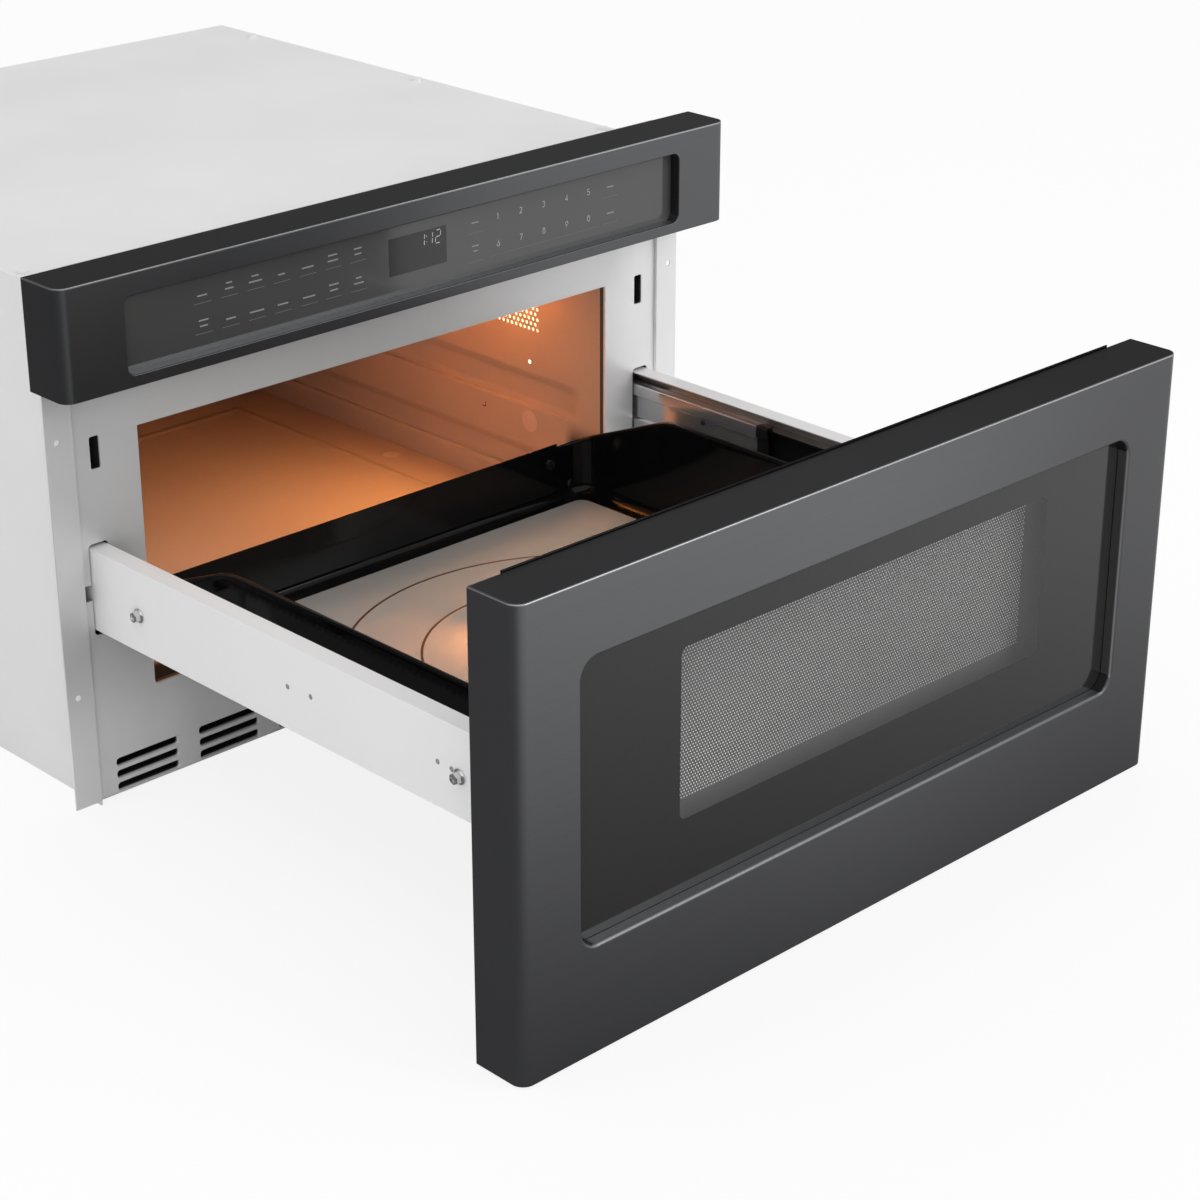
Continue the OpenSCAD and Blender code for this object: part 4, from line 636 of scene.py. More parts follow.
def recess_rim(node_name, glass_name):
    """Test for the rim of the recess in a front: both ends on the front plane, away from the outline."""
    (low, high), (glass_low, glass_high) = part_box(node_name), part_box(glass_name)
    reach = 12 * MM
    return lambda a, b: all(abs(p.y - low.y) < SAME and abs(p.x) < glass_high.x + reach
                            and glass_low.z - reach < p.z < glass_high.z + reach for p in (a, b))


def top_front_edge(node_name):
    """Test for the long upper edges of a front."""
    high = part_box(node_name)[1].z
    return lambda a, b: abs(a.z - high) < SAME and abs(b.z - high) < SAME


def rail_edge(a, b):
    """Test for the upper outer bend of either rail."""
    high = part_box("rail_right")[1]
    return all(abs(abs(p.x) - high.x) < SAME and abs(p.z - high.z) < SAME for p in (a, b))


print("edge tests ready")

# %% [markdown]
# Both fronts have a wide roll around the recess, where the sheet is drawn in, and the rails have one at the upper
# bend. The other sheets and the panes have cut edges, which are only eased.

# %% Rolled sheets


def front_copy(skin_name, glass_name, rim_radius, finish=None):
    """A front with a wide roll at its recess's rim, a narrow one at its upper edges and a fine one elsewhere."""
    widths = [(recess_rim(skin_name, glass_name), rim_radius), (top_front_edge(skin_name), 1.4), (anywhere, 0.8)]
    rolled_copy(skin_name, widths, 4, finish)


front_copy("door_skin", "door_glass", 3.6, "door_steel")
front_copy("panel_skin", "panel_glass", 2.8)
for node_name in ("rail_left", "rail_right"):
    rolled_copy(node_name, [(rail_edge, 1.6), (anywhere, 0.5)])
for node_name, radius, other in (("front_plate", 0.4, "front_sheet"), ("side_panel_left", 0.35, "side_sheet"),
                                 ("side_panel_right", 0.35, "side_sheet"), ("top_panel", 0.4, None),
                                 ("tray_plate", 0.8, None), ("tray_back_panel", 0.3, None),
                                 ("door_inner_panel", 0.5, None), ("slide_inner_left", 0.3, "slide_zinc"),
                                 ("slide_inner_right", 0.3, "slide_zinc"), ("choke_cover", 0.8, None),
                                 ("panel_glass", 0.3, None), ("door_glass", 0.4, "door_pane")):
    rolled_copy(node_name, [(anywhere, radius)], 2, other)

# %% [markdown]
# ## Surfaces on a grid
# New pieces are grids of points: one parameter runs along a closed path, the other along a profile across it.
# A path that keeps its own outward direction at every point can be offset by any amount without kinks.

# %% Grid surfaces


def grid_faces(rows, columns, close_columns=True):
    """Quads between neighbouring rows; the last column joins the first where the path is closed."""
    i, j = np.meshgrid(np.arange(rows - 1), np.arange(columns if close_columns else columns - 1), indexing="ij")
    k = (j + 1) % columns
    i = i * columns
    return np.stack([i + j, i + k, i + columns + k, i + columns + j], -1).reshape(-1, 4)


def closed_faces(rows, columns):
    """Grid faces on a closed path, with one more face over the first row and one over the last."""
    ring = np.arange(columns)
    return [*grid_faces(rows, columns), ring, ring[::-1] + (rows - 1) * columns]


def joined(parts):
    """Points and faces of many (points, faces) parts as one pair, each part's faces counting on from the last."""
    starts = np.cumsum([0, *(len(points) for points, _ in parts)])
    faces = [face + start for (_, part_faces), start in zip(parts, starts) for face in part_faces]
    return np.concatenate([points for points, _ in parts]), faces


def surface(name, points, faces, body, slot_name, finish=None, limit=SMOOTH_UNDER):
    """A mesh piece from arrays of points in metres; what meets is merged and every face is turned outward."""
    mesh = bpy.data.meshes.new(name)
    mesh.from_pydata(np.asarray(points, float).reshape(-1, 3).tolist(), [], [list(map(int, f)) for f in faces])
    build = bmesh.new()
    build.from_mesh(mesh)
    bmesh.ops.remove_doubles(build, verts=build.verts, dist=MERGE / 2)
    bmesh.ops.recalc_face_normals(build, faces=build.faces)
    build.to_mesh(mesh)
    build.free()
    shade(mesh, limit)
    return settle(bpy.data.objects.new(name, mesh), body, slot_name, finish)


def round_path(u, v, radius, steps=8):
    """Closed rounded rectangle: points and outward directions, each as (n, 2), in the units of u and v."""
    corners = np.array([[u[1], v[1]], [u[0], v[1]], [u[0], v[0]], [u[1], v[0]]], float)
    inward = np.array([[-1, -1], [1, -1], [1, 1], [-1, 1]], float)
    turn = (np.arange(4)[:, None] * 90 + np.linspace(0, 90, steps)[None]) * math.pi / 180
    outward = np.stack([np.cos(turn), np.sin(turn)], -1)
    centres = corners + inward * radius
    return (centres[:, None] + outward * radius).reshape(-1, 2), outward.reshape(-1, 2)


def swept(path, outward, profile):
    """Every profile point (offset, height) carried along the path: (rows, n, 3) as path u, path v, height."""
    offset, height = np.asarray(profile, float).T
    flat = path[None] + outward[None] * offset[:, None, None]
    return np.concatenate([flat, np.broadcast_to(height[:, None, None], (*flat.shape[:2], 1))], -1)


def arc(centre, radius, start, end, steps=6):
    """Points on a circle from one angle to another, in degrees."""
    turn = np.radians(np.linspace(start, end, steps))
    return np.stack([centre[0] + radius * np.cos(turn), centre[1] + radius * np.sin(turn)], -1)


print("grid helpers ready")

# %% [markdown]
# ## The pressed pan
# The pan is drawn from one sheet: a rim that is turned outward, walls with a generous bend at the bottom, and
# a pocket for the glass plate. Its rim drops toward the back, so the height of each rim point follows its y.

# %% The pressed pan
pan_low, pan_high = (np.array(corner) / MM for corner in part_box("tray"))
RIM = 4.0
PAN_SHEET = 1.2
FALL_START, FALL_R, FALL_SLOPE = 104, 57, 22.6


def rim_height(y):
    """Height of the rim at y: level, then an arc of 57 mm radius, then a straight slope of 22.6 degrees."""
    start = pan_high[1] - FALL_START
    bend = FALL_R * math.sin(math.radians(FALL_SLOPE))
    along = np.clip(y - start, 0, None)
    in_arc = np.minimum(along, bend)
    fall = FALL_R - np.sqrt(FALL_R**2 - in_arc**2) + (along - in_arc) * math.tan(math.radians(FALL_SLOPE))
    return pan_high[2] - fall


wall_x = pan_high[0] - RIM
PAN_CORNER_R = 20
path, outward = round_path((-wall_x, wall_x), (pan_low[1], pan_high[1]), PAN_CORNER_R, 10)
# straight runs get points of their own, so that the falling rim stays smooth
path = np.concatenate([path, path[:1]])
outward = np.concatenate([outward, outward[:1]])
PAN_STEP = 9
lengths = np.linalg.norm(np.diff(path, axis=0), axis=1)
shares = [np.linspace(0, 1, max(2, int(length // PAN_STEP) + 2))[:-1] for length in lengths]


def refined(ends):
    """Points between each pair of neighbours, by the shares of that pair."""
    return np.concatenate([a + (b - a) * s[:, None] for a, b, s in zip(ends[:-1], ends[1:], shares)])


path_fine, outward_fine = refined(path), refined(outward)
side_share = np.abs(outward_fine[:, 0])[None, :, None]
BED_R = 9
pocket_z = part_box("tray_plate")[0].z / MM
border_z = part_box("tray_plate")[1].z / MM
border_x = wall_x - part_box("tray_plate")[1].x / MM
# profile from the rim's outer lip over the rim, down the inner wall, over the border and into the pocket
over = np.concatenate([[[RIM, -3.2], [RIM, -1.6]], arc((RIM - 1.6, -1.6), 1.6, 0, 90, 5),
                       arc((0.6, -1.8), 1.8, 90, 180, 5)])
inner = np.concatenate([[[-PAN_SHEET, -6]], arc((-PAN_SHEET - BED_R, border_z + BED_R), BED_R, 0, -90, 8),
                        [[-border_x + 0.8, border_z]], arc((-border_x + 0.8, border_z - 0.8), 0.8, 90, 180, 4),
                        [[-border_x, pocket_z - 0.4]]])
outer = np.concatenate([[[-border_x, pan_low[2] + 0.2]], arc((-3, pan_low[2] + 3), 3, -90, 0, 5)])
outer[1:, 1] = np.maximum(outer[1:, 1], pan_low[2])
lip = np.array([[0.0, -4.4], [RIM - PAN_SHEET, -1.8], [RIM - PAN_SHEET, -3.2]])
rim = rim_height(path_fine[:, 1])
rows = []
for part, from_rim in ((outer, False), (lip, True), (over, True), (inner[:1], True), (inner[1:], False)):
    strip = swept(path_fine, outward_fine, part)
    if from_rim:
        strip[..., 2] += rim[None]
        shift = np.maximum(part[:, 0], 0)[:, None] * (1 - side_share[..., 0])
        strip[..., :2] -= outward_fine[None] * shift[..., None]
    rows.append(strip)
rows = np.concatenate(rows)
pan = surface("pressed_pan", rows * MM, closed_faces(*rows.shape[:2]), "drawer", "enamel")
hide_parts("tray")
print("pan rows", rows.shape, "box", rows.reshape(-1, 3).min(0).round(1), rows.reshape(-1, 3).max(0).round(1))

# %% [markdown]
# ## Strokes
# Printed marks, engraved rings and clock segments are all strokes of one width. A stroke is a flat bar that
# follows a few points, and a whole set of strokes goes into one mesh.

# %% Strokes


def ribbon(points, width, thickness):
    """A flat bar along points (u, v): four corners at each point, half the width to either side and at depth 0 or
    the full thickness. Corners lie on the mean normal of the two runs, lengthened so that the width stays."""
    points = np.asarray(points, float)
    closed = np.allclose(points[0], points[-1]) and len(points) > 3
    runs = np.diff(points, axis=0)
    runs /= np.linalg.norm(runs, axis=1, keepdims=True)
    before = np.concatenate([runs[-1:] if closed else runs[:1], runs])
    after = np.concatenate([runs, runs[:1] if closed else runs[-1:]])
    normal = (before + after)[:, ::-1] * (-1, 1)
    normal /= np.linalg.norm(normal, axis=1, keepdims=True)
    reach = width / 2 / np.clip((normal * (after[:, ::-1] * (-1, 1))).sum(1, keepdims=True), 0.5, 1)
    sides = np.stack([points + normal * reach, points - normal * reach], 1)
    corners = np.concatenate([sides, sides[:, ::-1]], 1)
    depth = np.broadcast_to([0, 0, thickness, thickness], (len(points), 4))
    faces = grid_faces(len(points), 4) if closed else closed_faces(len(points), 4)
    return np.concatenate([corners, depth[..., None]], -1).reshape(-1, 3), faces


def strokes(name, lines, width, lay, thickness, body, slot_name, finish):
    """One piece from many strokes; lay turns arrays u, v, depth in mm into points of the frame in mm."""
    corners, faces = joined([ribbon(line, width, thickness) for line in lines])
    return surface(name, lay(*corners.T) * MM, faces, body, slot_name, finish)


def bow(centre, radii, start, end, steps=18):
    """Points on an ellipse from one angle to another, in degrees."""
    turn = np.radians(np.linspace(start, end, steps))
    return np.stack([centre[0] + radii[0] * np.cos(turn), centre[1] + radii[1] * np.sin(turn)], -1)


print("stroke helpers ready")

# %% [markdown]
# ## Marks on the control panel
# Fourteen function keys stand left of the clock and ten number keys right of it, each with a thin line below.
# The numbers are drawn as thin strokes. The other keys carry plain bars, one or two on each key.

# %% Marks on the control panel
PRINT = 0.03


def on_panel(u, v, depth):
    """Places on the panel's glass: u along X, v up, depth toward the front."""
    return np.stack([u, face_of("panel_glass") - depth, v], -1)


DIGITS = [
    [bow((.3, .5), (.28, .5), 90, 450, 28)],
    [[(.10, .84), (.33, 1), (.33, 0)]],
    [np.concatenate([bow((.3, .72), (.26, .28), 165, -38), [(.04, 0), (.58, 0)]])],
    [np.concatenate([bow((.27, .745), (.24, .255), 150, -80), bow((.27, .26), (.29, .26), 80, -150)])],
    [[(.62, .26), (.02, .26), (.44, 1), (.44, 0)]],
    [np.concatenate([[(.54, 1), (.12, 1), (.08, .56)], bow((.27, .31), (.29, .31), 115, -150)])],
    [bow((.3, .31), (.28, .31), 90, 450, 24), [(.45, 1), (.055, .42)]],
    [[(.02, 1), (.56, 1), (.2, 0)]],
    [bow((.3, .76), (.22, .24), 90, 450, 22), bow((.3, .27), (.28, .27), 90, 450, 24)],
    [bow((.3, .69), (.28, .31), 90, 450, 24), [(.15, 0), (.545, .58)]]]
DIGIT_HIGH, DIGIT_STROKE = 4.3, 0.42
number_x = [77.1, 99.4, 121.9, 144.8, 167.0]
places = [(n, number_x[(n - 1) % 5], 360.2 if 1 <= n <= 5 else 340.2) for n in range(10)]
numbers = [np.asarray(line, float) * DIGIT_HIGH + (x - 0.3 * DIGIT_HIGH, z - DIGIT_HIGH / 2)
           for n, x, z in places for line in DIGITS[n]]
strokes("number_marks", numbers, DIGIT_STROKE, on_panel, PRINT, "cabinet", "display", "pale_print")

KEY_X = [-185.3, -163, -141.2, -119.1, -96.6, -74.8, -52.7]
KEY_LINES = {359.9: [(8,), (5, 7), (6, 11), (6,), (10,), (8, 9), (7, 6)],
             339.0: [(8, 6.5), (8,), (12,), (9,), (10.5,), (8.5, 7), (5, 8.5)]}
LINE_STEP = 3.9
bars, rules = [], []


def key(x, z, widths, half_rule, rule_drop):
    """Bars of the given widths stacked upward at x, z, and a thin line below them."""
    bars.extend([(x - w / 2, z + LINE_STEP * k), (x + w / 2, z + LINE_STEP * k)] for k, w in enumerate(widths[::-1]))
    rules.append([(x - half_rule, z - rule_drop), (x + half_rule, z - rule_drop)])


for z, keys in KEY_LINES.items():
    for x, widths in zip(KEY_X, keys):
        key(x, z, widths, 7.2, 5.2)
for x, z, widths in ((55.1, 360, (6.5,)), (55.1, 339, (6.5, 4)), (189.4, 360, (6.5,)), (189.4, 340, (7,))):
    key(x, z, widths, 7.6, 7.5)
rules.append([(69, 332), (175.5, 332)])
strokes("word_bars", bars, 1.0, on_panel, PRINT, "cabinet", "display", "grey_print")
strokes("key_rules", rules, 0.4, on_panel, PRINT, "cabinet", "display", "dim_print")
print(len(numbers), "number strokes,", len(bars), "bars,", len(rules), "lines")

# %% [markdown]
# ## The clock
# Behind the glass a slightly darker field carries the time in seven-segment digits. Each segment is a short
# stroke that stops before its neighbours, and the digits lean a little.

# %% The clock
SEGMENTS = {"a": ((.12, 1), (.88, 1)), "b": ((1, .9), (1, .56)), "c": ((1, .44), (1, .1)), "d": ((.88, 0), (.12, 0)),
            "e": ((0, .44), (0, .1)), "f": ((0, .9), (0, .56)), "g": ((.12, .5), (.88, .5))}
LEAN = 0.08


def clock_digit(letters, x, z=352.6, wide=4.4, high=9.4):
    """Segments in a box of that size at x, z, each point moved right by the lean times its height."""
    lit = np.array([SEGMENTS[letter] for letter in letters], float)
    return list(lit * (wide, high) + (x, z) + np.stack([lit[..., 1] * high * LEAN, lit[..., 1] * 0], -1))


dots = [[(9.7, z - 0.35), (9.7, z + 0.35)] for z in (355.4, 359.4)]
clock = clock_digit("bc", 2.8) + dots + clock_digit("bc", 10.2) + clock_digit("abged", 17.6)
strokes("clock_segments", clock, 0.7, on_panel, PRINT, "cabinet", "display", "pale_print")
field_x, field_z = (-25.4, 28), (336.8, 364)
field_path, field_out = round_path(field_x, field_z, 0.4, 3)
field_rows = swept(field_path, field_out, [(-0.05, 0), (0, 0), (0, PRINT / 2), (-0.05, PRINT / 2)])
surface("clock_field", on_panel(*field_rows.reshape(-1, 3).T) * MM, closed_faces(4, len(field_path)), "cabinet",
        "display", "clock_ground")
print("clock strokes", len(clock))

# %% [markdown]
# ## Window screen
# The shield behind the window is a thin sheet with thousands of small dimpled holes in staggered rows, and plain
# margins. Each cell of the pattern is a brick with six points on its border, so that neighbouring rows share
# every point: six quads lie between the border and the hole, and six triangles close the hole as a dimple.

# %% Window screen
HOLE_STEP, HOLE_R, DIMPLE = 2.406, 0.82, 0.45
SCREEN_COLUMNS, SCREEN_ROWS = 152, 59
SHEET_X, SHEET_Z, SHEET = (-216.0, 216.0), (100.0, 266.0), 0.6
SCREEN_MID = (0.0, 185.5)
screen_face = face_of("window_screen")
row_step = HOLE_STEP * math.sqrt(3) / 2
left, low = SCREEN_MID[0] - SCREEN_COLUMNS * HOLE_STEP / 2, SCREEN_MID[1] - SCREEN_ROWS * row_step / 2
row, column = np.meshgrid(np.arange(SCREEN_ROWS), np.arange(SCREEN_COLUMNS), indexing="ij")
kept = ~((row % 2 == 1) & (column == SCREEN_COLUMNS - 1))
centre_x = (left + HOLE_STEP * (column + 0.5 + 0.5 * (row % 2)))[kept]
centre_z = (low + row_step * (row + 0.5))[kept]
BRICK = np.array([(-1, -1), (0, -1), (1, -1), (1, 1), (0, 1), (-1, 1)]) / 2
hole_turn = np.radians([-150, -90, -30, 30, 90, 150])


def cell_points(offset_x, offset_z, depth):
    """Points at every cell's centre plus the offsets, at one depth behind the face of the sheet: (cells, k, 3)."""
    x, z = centre_x[:, None] + offset_x, centre_z[:, None] + offset_z
    return np.stack([x, np.full_like(x, screen_face + depth), z], -1)


cells = np.concatenate([cell_points(BRICK[:, 0] * HOLE_STEP, BRICK[:, 1] * row_step, 0),
                        cell_points(HOLE_R * np.cos(hole_turn), HOLE_R * np.sin(hole_turn), 0),
                        cell_points(np.zeros(1), np.zeros(1), DIMPLE)], 1)
# each cell has thirteen points: six on its border, six on its hole and one at the bottom of the dimple
k = np.arange(6)
after = (k + 1) % 6
base = np.arange(len(cells))[:, None] * 13
ring = np.stack([base + k, base + after, base + 6 + after, base + 6 + k], -1).reshape(-1, 4)
dimple = np.stack([base + 6 + k, base + 6 + after, base + 12 + 0 * k], -1).reshape(-1, 3)
# odd rows start and end half a brick late, so a plain quad fills each end
end_row = np.arange(1, SCREEN_ROWS, 2)
end_x = np.array([[0, 0.5], [SCREEN_COLUMNS - 0.5, SCREEN_COLUMNS]]) * HOLE_STEP + left
ends_x = np.broadcast_to(end_x[None, :, [0, 1, 1, 0]], (len(end_row), 2, 4))
ends_z = np.broadcast_to(low + row_step * (end_row[:, None, None] + np.array([0, 0, 1, 1])), ends_x.shape)
ends = np.stack([ends_x, np.full(ends_x.shape, screen_face), ends_z], -1).reshape(-1, 3)
end_faces = np.arange(len(ends)).reshape(-1, 4) + cells.size // 3
# the border of the pattern, point by point, then the sheet's outline from it by stretching the rectangle
across = left + np.arange(2 * SCREEN_COLUMNS + 1) * HOLE_STEP / 2
levels = low + np.arange(SCREEN_ROWS + 1) * row_step
right, high = across[-1], levels[-1]
border = np.concatenate([np.stack(np.broadcast_arrays(x, z), -1) for x, z in
                         ((across[:-1], low), (right, levels[:-1]), (across[:0:-1], high), (left, levels[:0:-1]))])
sheet_mid, pattern_mid = np.array([sum(SHEET_X), sum(SHEET_Z)]) / 2, np.array([left + right, low + high]) / 2
grow = np.array([SHEET_X[1] - SHEET_X[0], SHEET_Z[1] - SHEET_Z[0]]) / (right - left, high - low)
outline = sheet_mid + (border - pattern_mid) * grow
loops = np.stack([border, outline, outline])
loop_depth = np.broadcast_to(screen_face + np.array([0, 0, SHEET])[:, None], loops.shape[:2])
loops = np.stack([loops[..., 0], loop_depth, loops[..., 1]], -1)
loop_start = cells.size // 3 + len(ends)
margin = grid_faces(3, len(border)) + loop_start
back = np.arange(len(border)) + loop_start + 2 * len(border)
screen = surface("screen_sheet", np.concatenate([cells.reshape(-1, 3), ends, loops.reshape(-1, 3)]) * MM,
                 [*ring, *dimple, *end_faces, *margin, back], "drawer", SLOT_OF["window_screen"], "screen_paint",
                 limit=math.radians(20))
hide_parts("window_screen")
print(len(cells), "cells,", len(screen.data.polygons), "faces,", round(right - left), "x", round(high - low), "mm")

# %% [markdown]
# ## Rings on the plate
# Two thin brown rings are printed on the glass plate around its middle. Each is a closed stroke.

# %% Rings on the plate
plate_low, plate_high = (np.array(corner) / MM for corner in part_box("tray_plate"))
RING_R, RING_WIDE = (114.6, 169), 1.9
ring_mid = (plate_low[:2] + plate_high[:2]) / 2


def on_plate(u, v, depth):
    """Places on the glass plate: u along X, v along Y, depth upward."""
    return np.stack([u, v, plate_high[2] + depth], -1)


rings = [bow(ring_mid, (radius, radius), 0, 360, 145) for radius in RING_R]
strokes("plate_rings", rings, RING_WIDE, on_plate, 0.05, "drawer", "tray_glass", "ring_print")
print("ring middle", ring_mid.round(1))

# %% [markdown]
# ## Rail bolts
# Each rail is held by two flanged hexagon bolts. A bolt is a profile turned about its axis, whose radius is
# round in the flange and follows a hexagon in the head; the top is chamfered and dished. Four small shallow pits
# in each rail are turned in the same way.

# %% Rail bolts
bolt_low, bolt_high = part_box("rail_bolts")
RAIL_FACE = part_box("rail_right")[1].x / MM
BOLT_Z = (bolt_low.z + bolt_high.z) / 2 / MM
FLANGE_R = (bolt_high.z - bolt_low.z) / 2 / MM
BOLT_Y = (bolt_low.y / MM + FLANGE_R, bolt_high.y / MM - FLANGE_R)
BOLT_TOP = bolt_high.x / MM - RAIL_FACE


def turned(rows, steps=48):
    """Rings of points about an axis: each row is (radius, height, share of hexagon), and the radius at an angle is
    mixed between a circle and a hexagon of the same inner radius by that share."""
    radius, height, share = np.asarray(rows, float).T[..., None]
    turn = np.linspace(0, 2 * math.pi, steps, endpoint=False)
    hexagon = 1 / np.cos((turn + math.pi / 6) % (math.pi / 3) - math.pi / 6)
    reach = radius * (1 + share * (hexagon - 1))
    return np.stack([reach * np.cos(turn), reach * np.sin(turn), np.broadcast_to(height, reach.shape)], -1)


bolt = turned([(0, 0, 0), (FLANGE_R, 0, 0), (FLANGE_R, 0.7, 0), (FLANGE_R - 0.3, 1.0, 0), (3.9, 1.5, 0),
               (3.45, 1.6, 1), (3.45, BOLT_TOP - 0.5, 1), (3.3, BOLT_TOP - 0.12, 0.6), (3.05, BOLT_TOP, 0.1),
               (2.2, BOLT_TOP, 0), (1.9, BOLT_TOP - 0.8, 0), (0, BOLT_TOP - 1.0, 0)])


def on_rails(rows, places):
    """A turned shape on both rails at each (y, z), its axis along X and its height counted outward."""
    a, b, up = rows.reshape(-1, 3).T
    return joined([(np.stack([side * (RAIL_FACE + up), y + a, z + b], -1) * MM, grid_faces(*rows.shape[:2]))
                   for side in (-1, 1) for y, z in places])


bolts = surface("flange_bolts", *on_rails(bolt, [(y, BOLT_Z) for y in BOLT_Y]), "drawer", SLOT_OF["rail_bolts"],
                "bright_steel", limit=math.radians(24))
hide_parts("rail_bolts")
PIT_PLACES = [(-206.6, 161.3), (-229.7, 162.2), (-350.2, 161.5), (-362.8, 161.2)]
pit = turned([(0, 0.02, 0), (1.0, 0.02, 0), (1.15, 0.12, 0), (1.6, 0.12, 0), (1.9, 0, 0), (0, -0.02, 0)], 24)
surface("rail_pits", *on_rails(pit, [(y + closing_mm, z) for y, z in PIT_PLACES]), "drawer", "rail_steel",
        "grey_print")
print("bolts at y", np.round(BOLT_Y, 1), "z", round(BOLT_Z, 1))

# %% [markdown]
# ## Middle members of the slides
# Each middle member is a rolled channel with a groove along its web, between two balls' tracks. Its outline is
# carried along the whole length, and a small black clip screw sits at the groove.

# %% Middle members of the slides
GROOVE, MEMBER_BEND = 2.0, 1.2
# how far from each long edge the groove's flank begins and ends, on the face and on the rear
FACE_FLANK, REAR_FLANK = (9.2, 10.8), (9.6, 11.2)
CLIP_AHEAD, CLIP_DROP = 70, 13.5
clip = turned([(0, 0, 0), (2.0, 0, 0), (2.0, 0.8, 0), (1.7, 1.2, 0), (0.9, 1.2, 0), (0.8, 0.7, 0), (0, 0.7, 0)], 24)
for hand, side in (("left", -1), ("right", 1)):
    body = "slide_mid_" + hand
    low, high = (np.array(corner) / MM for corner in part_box(body))
    web, tip = sorted((abs(low[0]), abs(high[0])))
    (z0, z1), bent, groove = (low[2], high[2]), web + MEMBER_BEND, web + GROOVE
    face = np.concatenate([[[tip, z1]], arc((bent, z1 - MEMBER_BEND), MEMBER_BEND, 90, 180, 5),
                           [[web, z1 - FACE_FLANK[0]], [groove, z1 - FACE_FLANK[1]],
                            [groove, z0 + FACE_FLANK[1]], [web, z0 + FACE_FLANK[0]]],
                           arc((bent, z0 + MEMBER_BEND), MEMBER_BEND, 180, 270, 5), [[tip, z0]]])
    rear = [[tip, z0 + MEMBER_BEND], [bent, z0 + MEMBER_BEND],
            [bent, z0 + REAR_FLANK[0]], [groove + MEMBER_BEND, z0 + REAR_FLANK[1]],
            [groove + MEMBER_BEND, z1 - REAR_FLANK[1]], [bent, z1 - REAR_FLANK[0]],
            [bent, z1 - MEMBER_BEND], [tip, z1 - MEMBER_BEND]]
    x, z = np.concatenate([face, rear]).T
    ends = np.stack([np.stack([side * x, np.full_like(x, y), z], -1) for y in (low[1], high[1])])
    member = surface("mid_member_" + hand, ends * MM, closed_faces(2, len(x)), body, "rail_steel", "slide_zinc",
                     limit=math.radians(50))
    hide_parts(body)
    a, b, up = clip.reshape(-1, 3).T
    clip_places = np.stack([side * (groove - up), a + closing_mm - CLIP_AHEAD, b + z1 - CLIP_DROP], -1)
    surface("clip_screw_" + hand, clip_places * MM, grid_faces(*clip.shape[:2]), body, "rail_steel", "dark_plastic")
print("middle members", round(web, 1), "to", round(tip, 1), "mm from the middle")

# %% [markdown]
# ## Lips of the front vents
# Each long hole in the lower front plate is drawn inward, so a short lip with a soft bend stands behind its edge.

# %% Lips of the front vents
VENT_X, VENT_Z, VENT_SIZE, VENT_R = (86.8, 158.2, 229.6), (7, 16.5, 26), (53.5, 6.5), 2.5
LIP_PROFILE = [(0.02, 0.3), (-0.15, 0.5), (-0.35, 1.3), (-0.45, 3.5), (0.02, 3.5)]


def vent_lip(x, z):
    """The lip's profile around the hole at x, z, closed to a tube: its last row joins its first."""
    u, v = (middle + np.array([-0.5, 0.5]) * size for middle, size in zip((x, z), VENT_SIZE))
    rows = swept(*round_path(u, v, VENT_R, 5), LIP_PROFILE)
    a, b, deep = rows.reshape(-1, 3).T
    tube = grid_faces(len(rows) + 1, rows.shape[1]) % len(a)
    return np.stack([a, face_of("front_plate") + deep, b], -1) * MM, tube


lips = [vent_lip(side * x, z) for side in (-1, 1) for x in VENT_X for z in VENT_Z]
surface("vent_lips", *joined(lips), "cabinet", SLOT_OF["front_plate"], "front_sheet", limit=math.radians(50))
print("vent lips", len(lips))

# %% [markdown]
# ## Marks on the cavity's right wall
# The wall carries one small hole that the lamp shines through, a faint pressed circle and two short angle marks.
# The floor has one more circle.

# %% Marks on the cavity's right wall
CAVITY_FACE = 219.3
CAVITY_SLOT = SLOT_OF["cavity_shell"]


def on_wall(u, v, depth):
    """Places on the right wall: u backward from the closing plane, v up, depth into the cavity."""
    return np.stack([CAVITY_FACE - depth, u + closing_mm, v], -1)


wall_marks = [[(146, 137), (146, 133), (150, 133)], [(341, 134), (341, 130), (345, 130)]]
strokes("wall_marks", wall_marks, 0.9, on_wall, 0.05, "cabinet", CAVITY_SLOT, "ring_print")
disc = turned([(0, 0.06, 0), (8, 0.06, 0), (9, 0.0, 0), (0, -0.02, 0)], 36)
a, b, up = disc.reshape(-1, 3).T
cavity_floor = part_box("cavity_shell")[0].z / MM + 1
floor_places = np.stack([200 + 0.8 * a, closing_mm + 246 + 0.8 * b, cavity_floor + up], -1)
for name, places in (("wall_disc", on_wall(93 + a, 134 + b, up)), ("floor_disc", floor_places)):
    surface(name, places * MM, grid_faces(*disc.shape[:2]), "cabinet", CAVITY_SLOT, "paint_mark")
strokes("lamp_spot", [[(90.6, 185), (93.4, 185)]], 2.8, on_wall, 0.05, "cabinet", "lamp", "lamp_light")
print("wall marks", len(wall_marks))

# %% [markdown]
# ## The oven lamp's light
# The lamp stands behind a field of small holes in the right wall, and they show as bright dots. A thin glowing
# diffuser stands between the wall and the bulb, inside the lamp's housing.

